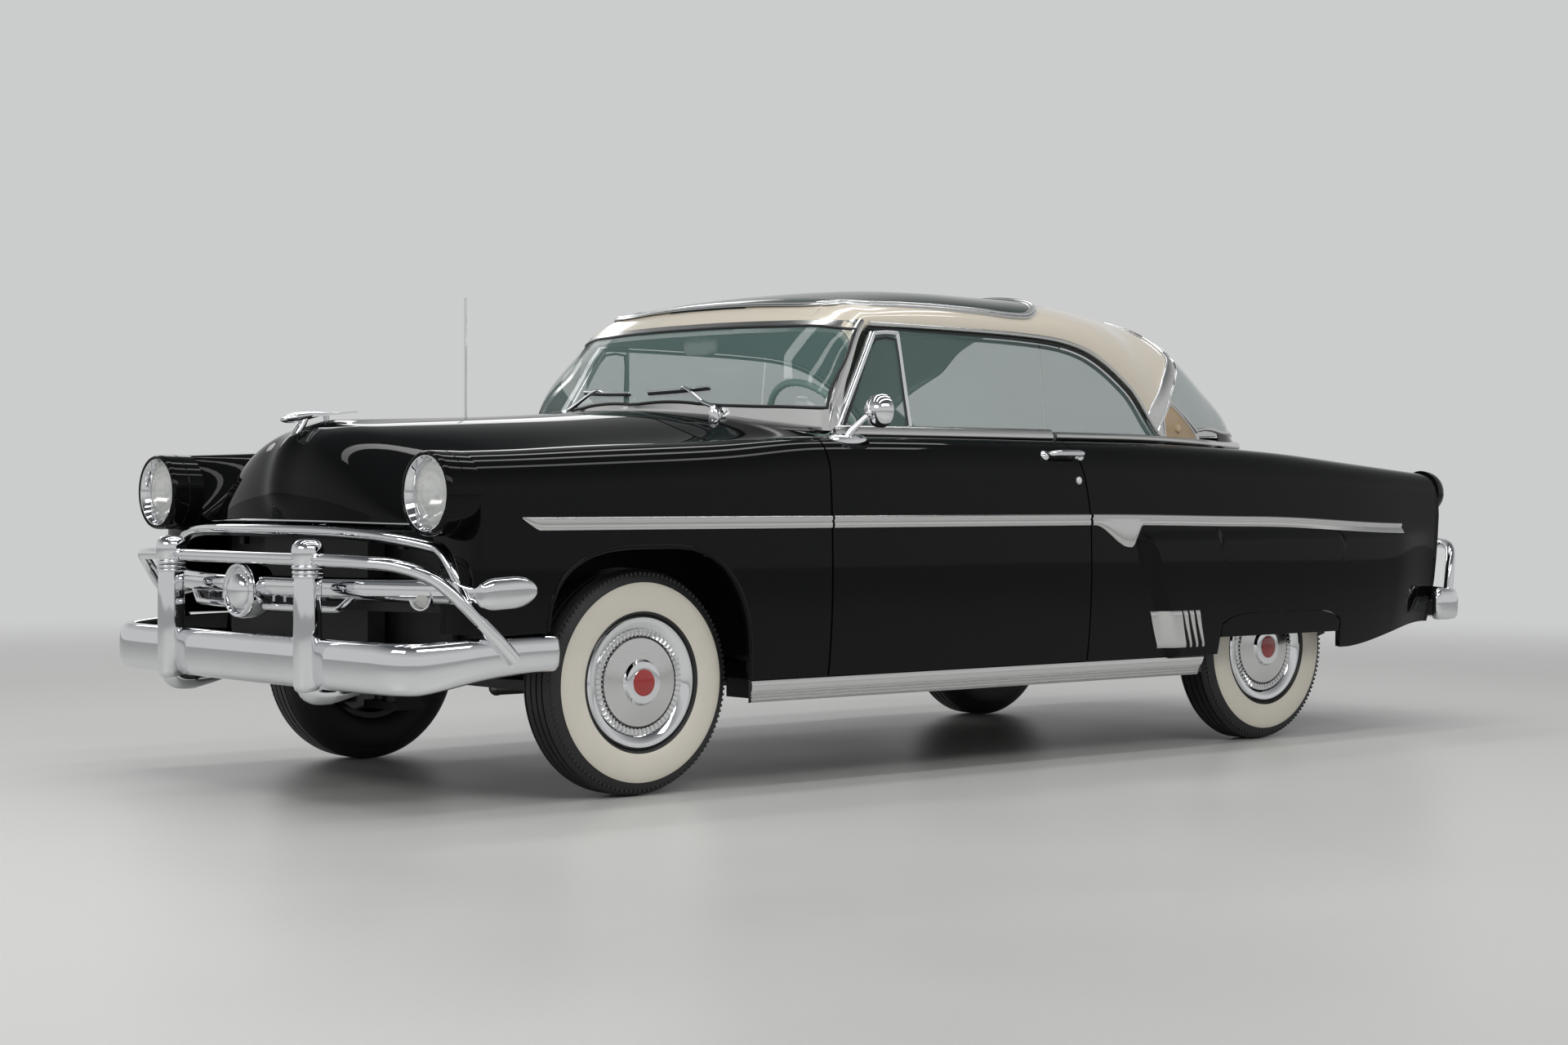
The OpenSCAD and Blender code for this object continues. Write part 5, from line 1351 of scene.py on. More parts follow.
    def _headlamp(self, side: Side) -> None:
        """Painted housing, bright ring, mirror bowl, bulb and fluted lens."""
        at = (NOSE, side.value * self.lamp_y, self.lamp_z)
        shell_line = [(0.096, 0.0005), (0.1205, 0.0005), (0.1212, 0.030), (0.1212, 0.0500), (0.1196, 0.0515),
                      (0.1196, 0.0530), (0.1212, 0.0545), (0.1212, 0.092), (0.1200, 0.104), (0.1165, 0.1105),
                      (0.1130, 0.1115), (0.1095, 0.1085), (0.1080, 0.1020), (0.1040, 0.0980), (0.0960, 0.0900)]
        housing = add_mesh(f"lamp_housing_{side.word}", lathe(shell_line, at, (1, 0, 0), 96), PAINT, sharp=28.0)
        ring = [(0.1085, 0.1035), (0.1075, 0.1085), (0.1050, 0.1075), (0.0985, 0.0960), (0.0945, 0.0860),
                (0.0925, 0.0800), (0.0905, 0.0800), (0.0905, 0.0700), (0.1060, 0.0700)]
        add_mesh(f"lamp_ring_{side.word}", lathe(ring, at, (1, 0, 0), 96), CHROME, sharp=28.0)
        bowl = [(0.0, 0.020), (0.020, 0.022), (0.050, 0.036), (0.075, 0.058), (0.090, 0.078), (0.0915, 0.076),
                (0.077, 0.054), (0.050, 0.031), (0.020, 0.016), (0.0, 0.015)]
        add_mesh(f"lamp_bowl_{side.word}", lathe(bowl, at, (1, 0, 0), 64), MIRROR, sharp=40.0)
        bulb = ball((NOSE + 0.052, at[1], at[2]), 0.011)
        shield = lathe([(0.0, 0.072), (0.016, 0.070), (0.018, 0.064), (0.0, 0.062)], at, (1, 0, 0), 32)
        add_mesh(f"lamp_bulb_{side.word}", join(bulb, shield), CHROME, sharp=40.0)
        outer = np.linspace(0.01, self.lens_r, 18)
        inner = np.linspace(0.0890, 0.01, 18)
        lens = [(0.0, 0.0985), *((r, 0.0985 - 0.017 * (r / self.lens_r) ** 2) for r in outer),
                (self.lens_r, 0.0780), *((r, 0.0945 - 0.0165 * (r / self.lens_r) ** 2) for r in inner), (0.0, 0.0945)]
        pane = add_mesh(f"lamp_lens_{side.word}", lathe(lens, at, (1, 0, 0), 96), LENS, sharp=40.0)
        if side is Side.LEFT:
            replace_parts(housing, "headlamp_housings")
            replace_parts(pane, "front_lamps")

    def _parking_lamp(self, side: Side) -> None:
        """Round lamp in a bright pod at the end of the grille bar."""
        ahead = Vector((0.96, side.value * 0.28, 0)).normalized()
        at = Vector((FX + 0.690, side.value * 0.705, self.bar_z))
        pod = [(0.0, -0.090), (0.012, -0.080), (0.026, -0.045), (0.036, -0.010), (0.041, 0.012), (0.043, 0.022),
               (0.0415, 0.028), (0.0375, 0.0275), (0.0350, 0.020), (0.0340, 0.008), (0.0, 0.006)]
        add_mesh(f"parking_pod_{side.word}", lathe(pod, at, ahead, 64), CHROME, sharp=32.0)
        lens = [(0.0, 0.030), (0.012, 0.029), (0.024, 0.0255), (0.0335, 0.018), (0.0335, 0.010), (0.0, 0.009)]
        add_mesh(f"parking_lens_{side.word}", lathe(lens, at, ahead, 64), AMBER, sharp=40.0)

    def _bar_cap(self, side: Side) -> None:
        """End of the grille bar wrapped round the fender, with a rounded tail."""
        s = down(70)
        t = over(25, -1, 1)
        tall = 0.047 * (1 - np.maximum((s - 0.55) / 0.45, 0.0) ** 2.4) ** 0.5 * smooth_step(-0.35, 0.30, s) + 0.0008
        z = self.bar_z + 0.006 + 0.010 * s + tall * t
        x = FX + mix(0.655, 0.452, s) + 0 * t
        out = 0.003 + 0.017 * (1 - t ** 4) * np.minimum(tall / 0.047, 1.0) ** 0.7
        y = np.where(x < NOSE, SHAPE.side_y(np.minimum(x, NOSE), z),
                     SHAPE.side_y(NOSE + 0 * x, z) - 2.4 * (x - NOSE)) + out
        grid = xyz(x, y, z)
        nose_u = np.linspace(0, 1, 26)[1:, None]
        start = grid[0]
        aim = xyz(FX + 0.672, 0.790, self.bar_z + 0.014 + 0.034 * t[0])
        bend = mix(start[None], aim[None], nose_u[..., None])
        bend[..., 0] += 0.016 * np.sin(nose_u * math.pi)
        whole = np.concatenate([bend[::-1], grid], 0)
        back = whole - (0.010, 0.012, 0)
        back[25:, :, 0] = whole[25:, :, 0]
        back[25:, :, 1] = np.minimum(whole[25:, :, 1] - 0.002, SHAPE.side_y(np.minimum(x, NOSE), z) - 0.004)
        add_mesh(f"grille_cap_{side.word}", mirrored(shell(whole, back), side), CHROME, sharp=60.0)

    def _ornament(self) -> None:
        """Plain slender ornament on the hood."""
        s = np.linspace(0, 1, 50)
        path = xyz(mix(FX + 0.748, FX + 0.519, s), 0, mix(1.124, 1.150, s) + 0.006 * np.sin(math.pi * s))
        radius = 0.0165 * np.maximum(np.sin(math.pi * np.minimum(s * 1.25 + 0.02, 1.0) ** 0.6), 0.16)
        jet = tube(path, radius, 24)
        foot = smooth_path([(FX + 0.700, 0, 1.066), (FX + 0.690, 0, 1.090), (FX + 0.676, 0, 1.112),
                            (FX + 0.665, 0, 1.132)], 20)
        base = tube(foot, np.linspace(0.017, 0.012, 20), 20)
        heel = smooth_path([(FX + 0.585, 0, 1.106), (FX + 0.588, 0, 1.120), (FX + 0.592, 0, 1.142)], 14)
        fins = []
        for side in Side:
            span = [(FX + 0.650, 0.010 * side.value, 1.137), (FX + 0.540, 0.058 * side.value, 1.150),
                    (FX + 0.515, 0.060 * side.value, 1.152), (FX + 0.560, 0.010 * side.value, 1.146)]
            plate = np.array(span)
            fins.append((np.concatenate([plate + (0, 0, 0.003), plate - (0, 0, 0.003)]),
                         [(0, 1, 2, 3), (7, 6, 5, 4), (0, 4, 5, 1), (1, 5, 6, 2), (2, 6, 7, 3), (3, 7, 4, 0)]))
        piece = add_mesh("ornament_jet", join(jet, base, tube(heel, 0.009, 16), *fins), CHROME, "hood", sharp=45.0)
        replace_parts(piece, "hood_ornament")


@dataclass
class BrightTrim:
    """Bright strips along the sides, split where the doors part."""

    top_front: float = 0.838
    tall: float = 0.041

    def build(self) -> None:
        """Makes the strips of both sides."""
        for side in Side:
            self._spear(side, "body", "fender", DOOR_FRONT + GAP + 0.001, FX + 0.503)
            self._spear(side, f"door_{side.word}", "door", self._door_rear() + 0.006, DOOR_FRONT - GAP - 0.001)
            self._spear(side, "body", "quarter", -2.000, self._door_rear() - 0.0055)
            self._rocker(side)
            self._shield(side)
            self._belt(side)

    def _door_rear(self) -> float:
        """Place of the door's rear edge at the strip."""
        return float(door_rear_edge(np.array(0.82)))

    def _line(self, x: Array) -> tuple[Array, Array]:
        """Upper and lower edge of the side strip at x."""
        top = self.top_front - 0.012 * smooth_step(-0.2, -1.3, x) - 0.030 * smooth_step(-1.1, -2.05, x)
        dip = 0.074 * smooth_step(-0.250, -0.425, x) * smooth_step(-0.492, -0.442, x)
        tip = np.clip((FX + 0.503 - x) / 0.060, 0.0, 1.0)
        return top, top - self.tall * mix(0.12, 1.0, tip ** 0.9) - dip

    def _spear(self, side: Side, body: str, part: str, rear: float, front: float) -> None:
        """One length of the side strip, with a bead over a flat band."""
        x = np.linspace(rear, front, max(int((front - rear) / 0.009), 24))[:, None]
        top, low = self._line(x)
        across = np.array([0.0, 0.04, 0.12, 0.24, 0.34, 0.40, 0.45, 0.52, 0.70, 0.86, 0.95, 1.0])[None, :]
        rise = np.array([0.0, 0.0045, 0.0078, 0.0080, 0.0062, 0.0036, 0.0034, 0.0052, 0.0060, 0.0058, 0.0045,
                         0.0])[None, :]
        bead = np.minimum(top - low, self.tall)
        z = np.where(across < 0.47, top - across * bead, mix(top - 0.47 * bead, low, (across - 0.47) / 0.53))
        y = SHAPE.side_y(x + 0 * z, z) + rise + 0.0012
        grid = xyz(x + 0 * z + tail_lean(x + 0 * z, z), y, z)
        back = grid.copy()
        back[..., 1] = SHAPE.side_y(x + 0 * z, z) - 0.002
        add_mesh(f"side_strip_{part}_{side.word}", mirrored(shell(grid, back), side), STEEL, body, sharp=60.0)

    def _rocker(self, side: Side) -> None:
        """Ribbed moulding below the door."""
        z = np.array([0.334, 0.3345, 0.332, 0.324, 0.312, 0.304] + [0.300 - 0.0031 * i for i in range(11)]
                     + [0.266, 0.265])
        y = np.array([0.868, 0.880, 0.8855, 0.8880, 0.8885, 0.8870]
                     + [0.8860 if i % 3 == 0 else 0.8825 for i in range(11)] + [0.880, 0.866])
        x = down(120, -0.842, 1.262)
        grid = xyz(x - 0.5 * np.minimum(z - 0.334, 0) * smooth_step(-0.60, -0.842, x), y, z)
        back = grid.copy()
        back[..., 1] = np.minimum(grid[..., 1] - 0.003, 0.8702)
        add_mesh(f"rocker_strip_{side.word}", mirrored(shell(grid, back), side), STEEL, sharp=25.0)

    def _shield(self, side: Side) -> None:
        """Stone shield at the front of the rear fender with three ribs behind it."""
        parts = []
        for front, rear, out in ((-0.536, -0.672, 0.005), (-0.682, -0.704, 0.006), (-0.715, -0.737, 0.006),
                                 (-0.748, -0.770, 0.006)):
            s = down(20)
            t = over(24)
            z = mix(0.496, 0.366, t)
            x = mix(front, rear, s) - mix(0.050, 0.038, s) * t ** 1.3
            swell = out * (1 - (2 * t - 1) ** 12)
            if rear < -0.673:
                swell = out * (1 - (2 * s - 1) ** 8) * (1 - (2 * t - 1) ** 10)
            grid = xyz(x, SHAPE.side_y(x, z + 0 * x) + swell + 0.0002, z)
            back = grid.copy()
            back[..., 1] = SHAPE.side_y(x, z + 0 * x) - 0.003
            parts.append(mirrored(shell(grid, back), side))
        add_mesh(f"stone_shield_{side.word}", join(*parts), STEEL, sharp=40.0)

    def _belt(self, side: Side) -> None:
        """Moulding under the side windows and round the foot of the rear window."""
        section = [(-0.014, -0.004), (-0.013, 0.006), (-0.006, 0.0095), (0.006, 0.0098), (0.017, 0.0092),
                   (0.023, 0.006), (0.024, -0.004)]
        x = np.linspace(DOOR_REAR + 0.066, FX - 0.800, 60)
        door = xyz(x, HALF_W - 0.1555, BELT + 0.013)
        up = np.array([0.0, -0.30, 0.954])
        out = np.array([0.0, 0.954, 0.30])
        add_mesh(f"belt_door_{side.word}", mirrored(sweep(door, up, out, section), side), STEEL,
                 f"door_{side.word}", sharp=60.0)
        x = np.linspace(DOOR_REAR + 0.054, -1.150, 60)
        rail = xyz(x, SHAPE.yg(x) + 0.010, SHAPE.zg(x) + 0.017)
        base = deck_edge(np.linspace(0.655, 0.0, 50), 0.300, 0.016, -0.012)
        path = smooth_path(np.concatenate([rail[:-4:6], base[9::5]]), 130)
        add_mesh(f"belt_quarter_{side.word}", mirrored(tube(path, 0.0150, 14), side), STEEL, sharp=60.0)


@dataclass
class RoofTrim:
    """Bright frames of the roof panel, drip rails, pillar trims, vent bars and wipers."""

    house: "Glasshouse"

    def build(self) -> None:
        """Makes every strip of the glasshouse."""
        self._panel_frame()
        self._rear_band()
        for side in Side:
            self._drip_rail(side)
            self._insert(side)
            self._vent(side)
        self._wipers()
        self._inside_mirror()

    def _on_roof(self, x: Array, y: Array, lift: float) -> Array:
        """Points on the roof at x and y, lifted."""
        return xyz(x, y, self.house.roof_z(x, y) + lift)

    def _panel_frame(self) -> None:
        """Tinted skins that carry the panel out over the shoulders, and the bright frame round it."""
        h = self.house
        corner = [(0.710, 0.0), (0.708, 0.26), (0.698, 0.42), (0.676, 0.530), (0.640, 0.606), (0.580, 0.647),
                  (0.450, 0.669), (0.300, 0.684), (0.100, 0.693), (-0.060, 0.699), (-0.140, 0.690), (-0.215, 0.640),
                  (-0.290, 0.545), (-0.338, 0.440), (-0.352, 0.300), (-0.352, 0.0)]
        half = smooth_path([(x, y, 0) for x, y in corner], 150)
        wing = half[half[:, 1] > h.panel_w / 2 - 0.004]
        s = over(20)
        x = wing[:, :1] + 0 * s
        y = mix(h.panel_w / 2 - 0.006, wing[:, 1:2], s)
        grid = self._on_roof(x, y, 0.0)
        skin = h.sheet(grid, 0.0035, 0.001)
        for side in Side:
            add_mesh(f"panel_wing_{side.word}", mirrored(skin, side), WING, sharp=50.0)
        patches = []
        for end, near in ((0.728, half[:, 0] > 0.5), (-0.358, half[:, 0] < -0.24)):
            edge = half[near & (half[:, 1] > 0.2) & (half[:, 1] < 0.56)]
            x = mix(edge[:, :1], end, over(8))
            grid = self._on_roof(x, edge[:, 1:2] + 0 * x, 0.0)
            lift = np.linspace(0.0016, 0.0005, 8)[None, :, None]
            patches.append(both(h.sheet(grid, lift, 0.001)))
        add_mesh("panel_corners", join(*patches), CREAM, sharp=50.0)
        flat = np.concatenate([half, flip(half, Side.RIGHT)[-2:0:-1]])
        path = self._on_roof(flat[:, 0], flat[:, 1], 0.0)
        step = unit(np.roll(path, -1, 0) - np.roll(path, 1, 0))
        up = outward(path)
        side_way = np.cross(step, up)
        section = [(p * 0.015, q * 0.0075 + 0.002) for p, q in BAND]
        low = smooth_step(0.36, 0.12, np.abs(path[:, 1:2])) * (path[:, :1] < 0.2)
        path = path - 0.0045 * low * up
        add_mesh("panel_frame", sweep(path, side_way, up, section, closed=True), STEEL, sharp=60.0)
        bead = path + (0.010 - 0.0055 * low) * up
        add_mesh("panel_bead", tube(bead, 0.0042, 10, True), CHROME, sharp=60.0)

    def _rear_band(self) -> None:
        """Bright band along the rear edge of the roof, wider down its feet, and the foot plates."""
        a = np.concatenate([np.linspace(-90, -40, 70)[:-1], np.linspace(-40, 40, 50),
                            np.linspace(40, 90, 70)[1:]])[None, :]
        front = ROOF_FOOT(np.abs(a)) + 0.004
        u = down(14)
        x = mix(front - BAND_WIDE(np.abs(a)) - 0.004, front, u)
        grid = SHAPE.dome(x, a + 0 * x)
        crown = (0.0045 + 0.0035 * np.sin(math.pi * u))[..., None] + 0 * grid[..., :1]
        add_mesh("rear_band", self.house.sheet(grid, crown, 0.003), STEEL, sharp=40.0)
        for shift, name in ((0.0, "front"), (-1.0, "rear")):
            line = SHAPE.dome(front + shift * (BAND_WIDE(np.abs(a)) + 0.004), a)[0]
            add_mesh(f"rear_band_bead_{name}", tube(self.house.inset(line, -0.004), 0.0045, 10), CHROME, sharp=60.0)
        a = over(40, 78.0, 90)
        front = ROOF_FOOT(a) - BAND_WIDE(a) + 0.003
        x = mix(pane_front(a) - 0.012, np.maximum(front, pane_front(a)), down(20))
        grid = SHAPE.dome(x, a + 0 * x)
        add_mesh("roof_foot_plates", both(self.house.sheet(grid, 0.003, 0.004)), STEEL, sharp=50.0)

    def _drip_rail(self, side: Side) -> None:
        """Rail over the side windows from the windshield post to the foot of the roof, with its seal."""
        x = np.linspace(RX + 0.492, FX - 0.996, 120)
        y, z = SHAPE.dome_edge(x)
        path = xyz(x, y + 0.004, z)
        add_mesh(f"drip_rail_{side.word}", mirrored(tube(path, 0.0078, 12), side), STEEL, sharp=60.0)
        step = unit(np.gradient(path, axis=0))
        below = xyz(step[:, 2], 0, -step[:, 0])
        seals = [tube(path + 0.0140 * below - (0, 0.010, 0), 0.0075, 10),
                 tube(path + 0.0315 * below - (0, 0.014, 0), 0.0060, 10)]
        add_mesh(f"window_seal_{side.word}", mirrored(join(*seals), side), SEAL, sharp=60.0)
        rear = x < DOOR_REAR - 0.03
        frame_line = (path + 0.0235 * below - (0, 0.010, 0))[rear]
        add_mesh(f"quarter_frame_{side.word}", mirrored(tube(frame_line, 0.0052, 10), side), CHROME, sharp=60.0)

    def _insert(self, side: Side) -> None:
        """Patterned insert with a plain disc at the foot of the roof."""
        r = down(20)
        a = mix(89.6, 80.2, r)
        front = np.minimum(ROOF_FOOT(a) - BAND_WIDE(a) - 0.004, -0.782 - 0.5 * np.maximum(0.030 - 0.045 * r, 0.0))
        rear = np.minimum(pane_front(a) + 0.014, front - 0.004)
        x = mix(front, rear, over(24))
        base = SHAPE.dome(x, a + 0 * x)
        grid = self.house.inset(base, -0.0052)
        add_mesh(f"roof_insert_{side.word}", mirrored(shell(grid, self.house.inset(base, -0.002)), side), GOLD,
                 sharp=40.0)
        rim = np.concatenate([grid[0], grid[1:, -1], grid[-1, -2::-1], grid[-2:0:-1, 0]])
        add_mesh(f"roof_insert_rim_{side.word}", mirrored(tube(rim, 0.003, 8, True), side), CHROME, sharp=60.0)
        at = self.house.inset(SHAPE.dome(np.array(-0.868), np.array(87.4)), -0.006)
        add_mesh(f"roof_disc_{side.word}",
                 mirrored(lathe([(0.0, 0.007), (0.010, 0.0065), (0.0145, 0.004), (0.016, -0.002), (0.0, -0.003)],
                                at, (0, 0.95, 0.3), 40), side), GOLD, sharp=40.0)

    def _vent(self, side: Side) -> None:
        """Bars of the vent window on the door and the seal along its front."""
        def at(x: float, z: float) -> tuple[float, float, float]:
            """Point in the plane of the door glass."""
            return (x, mix(HALF_W - 0.166, HALF_W - 0.208, (z - 1.0846) / 0.353) - 0.003, z)

        def bar(points: Sequence[tuple[float, float, float]], r: float) -> Part:
            """Bar along a few points."""
            return tube(smooth_path(points, 24), r, 12)

        body = f"door_{side.word}"
        upright = bar([at(FX - 1.152, 1.090), at(FX - 1.138, 1.260), at(FX - 1.124, 1.428)], 0.0085)
        front = bar([at(FX - 0.812, 1.090), at(FX - 0.915, 1.262), at(FX - 1.012, 1.424)], 0.0145)
        top = bar([at(FX - 1.012, 1.424), at(FX - 1.065, 1.430), at(FX - 1.124, 1.430)], 0.0090)
        bars = mirrored(join(upright, front, top), side)
        add_mesh(f"vent_bars_{side.word}", bars, CHROME, body, sharp=60.0)
        inner = bar([at(FX - 0.850, 1.102), at(FX - 0.930, 1.250), at(FX - 1.012, 1.396), at(FX - 1.040, 1.410),
                     at(FX - 1.106, 1.412), at(FX - 1.118, 1.400), at(FX - 1.128, 1.250), at(FX - 1.138, 1.106),
                     at(FX - 1.120, 1.098), at(FX - 0.870, 1.096)], 0.0048)
        add_mesh(f"vent_seal_{side.word}", mirrored(inner, side), SEAL, body, sharp=60.0)

    def _wipers(self) -> None:
        """Two wipers resting on the lower edge of the windshield."""
        for side in Side:
            y = np.linspace(0.335, 0.050, 30)
            foot_x = SHIELD_FOOT - 0.1785 * (y / SHIELD_HALF) ** 2.2
            x = foot_x - 0.030
            blade = self.house.inset(SHAPE.dome(x, SHAPE.dome_angle(x, y)), -0.009)
            pivot = np.array([FX - 0.612, 0.405, 1.166])
            post = lathe([(0.0, 0.026), (0.010, 0.025), (0.013, 0.014), (0.019, 0.006), (0.020, -0.02),
                          (0.0, -0.02)], pivot, (0.25, 0, 1), 32)
            mid = blade[13]
            arm = tube(smooth_path([pivot + (0, 0, 0.018), pivot + (0.004, -0.05, 0.034),
                                    mid + (0.010, 0.03, 0.014), mid + (0.003, 0, 0.008)], 30),
                       np.linspace(0.0075, 0.004, 30), 12)
            spine = tube(blade + (0.005, 0, 0.007), 0.0036, 10)
            bright = mirrored(join(post, arm, spine), side)
            add_mesh(f"wiper_arm_{side.word}", bright, CHROME, sharp=45.0)
            add_mesh(f"wiper_blade_{side.word}", mirrored(tube(blade, 0.0045, 8), side), SEAL, sharp=45.0)

    def _inside_mirror(self) -> None:
        """Mirror under the roof edge."""
        at = np.array([FX - 0.885, 0.0, 1.405])
        s = around(48)
        edge = xyz(0, 0.085 * signed(np.cos(s), 0.5), 0.032 * signed(np.sin(s), 0.5))
        rings = np.stack([at + edge * (1, k, k) + (d, 0, 0)
                          for k, d in ((0.001, 0.018), (0.6, 0.017), (0.92, 0.012), (1.0, 0.004), (1.0, -0.004),
                                       (0.95, -0.006), (0.001, -0.006))])
        head = (rings.reshape(-1, 3), grid_faces(7, 48, wrap=True))
        stalk = tube(smooth_path([at + (0.012, 0, 0.01), at + (0.026, 0, 0.05), at + (0.018, 0, 0.080)], 16), 0.006,
                     12)
        add_mesh("inside_mirror", join(head, stalk), DIAL, sharp=45.0)


@dataclass
class DoorFittings:
    """Handles, locks and the outside mirror."""

    def build(self) -> None:
        """Makes the fittings of both doors."""
        for side in Side:
            self._handle(side)
        self._mirror()

    def _handle(self, side: Side) -> None:
        """Bar handle with a button, and the lock below it."""
        foot = SHAPE.skin(np.array([-0.205, -0.035]), np.array([1.45, 1.45]), np.full(2, DOOR_LOW), 0.3, 0.0)
        grip = smooth_path([foot[0] + (0.006, 0.002, 0), foot[0] + (0.012, 0.026, 0.004),
                            foot[0] + (0.040, 0.034, 0.006), foot[1] + (-0.040, 0.034, 0.006),
                            foot[1] + (-0.012, 0.026, 0.004), foot[1] + (-0.006, 0.002, 0)], 50)
        parts = [tube(grip, 0.0085 + 0.002 * np.sin(np.linspace(0, math.pi, 50)), 16)]
        for p in foot:
            parts.append(lathe([(0.0, 0.008), (0.012, 0.007), (0.018, 0.002), (0.019, -0.005), (0.0, -0.006)], p,
                               (0, 0.75, 0.66), 32))
        button = foot[0] + (0.022, 0.012, 0.002)
        parts.append(lathe([(0.0, 0.016), (0.008, 0.0155), (0.010, 0.012), (0.010, -0.012), (0.0, -0.012)], button,
                           (0, 0.75, 0.66), 28))
        lock = np.array([-0.178, float(SHAPE.side_y(np.array(-0.178), np.array(0.945))), 0.950])
        parts.append(lathe([(0.0, 0.006), (0.008, 0.0058), (0.0095, 0.0035), (0.013, 0.0030), (0.0145, -0.003),
                            (0.0, -0.004)], lock, (0, 1, 0.05), 36))
        add_mesh(f"door_handle_{side.word}", mirrored(join(*parts), side), CHROME, f"door_{side.word}", sharp=45.0)

    def _mirror(self) -> None:
        """Round mirror on a stalk at the front of the left door."""
        head = np.array([FX - 0.905, 0.860, 1.170])
        bowl = [(0.0, -0.030), (0.018, -0.028), (0.036, -0.020), (0.048, -0.008), (0.0545, 0.008), (0.056, 0.020),
                (0.0555, 0.026), (0.0530, 0.028), (0.0515, 0.026), (0.0, 0.0255)]
        glass = lathe([(0.0, 0.0275), (0.051, 0.0275), (0.051, 0.0235), (0.0, 0.0235)], head, (-1, 0, 0), 64)
        stalk = tube(smooth_path([(FX - 0.805, 0.832, 1.084), (FX - 0.822, 0.838, 1.106),
                                  (FX - 0.862, 0.848, 1.142), (FX - 0.886, 0.856, 1.160)], 26),
                     np.linspace(0.0125, 0.008, 26), 16)
        turn = around(48)
        plate = []
        for k, dz in ((0.001, 0.014), (0.55, 0.013), (0.85, 0.009), (1.0, 0.002), (1.0, -0.016), (0.001, -0.016)):
            plate.append(xyz(FX - 0.812 + 0.080 * k * np.cos(turn), 0.828 + 0.024 * k * np.sin(turn),
                             BELT - 0.008 + dz - 0.20 * (0.024 * k * np.sin(turn))))
        base = (np.concatenate(plate), grid_faces(6, 48, wrap=True))
        knuckle = ball((FX - 0.880, 0.856, 1.160), 0.014)
        piece = add_mesh("mirror_head", join(lathe(bowl, head, (-1, 0, 0), 64), stalk, base, knuckle), CHROME,
                         "door_left", sharp=40.0)
        add_mesh("mirror_glass", glass, MIRROR, "door_left", sharp=40.0)
        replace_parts(piece, "mirror")


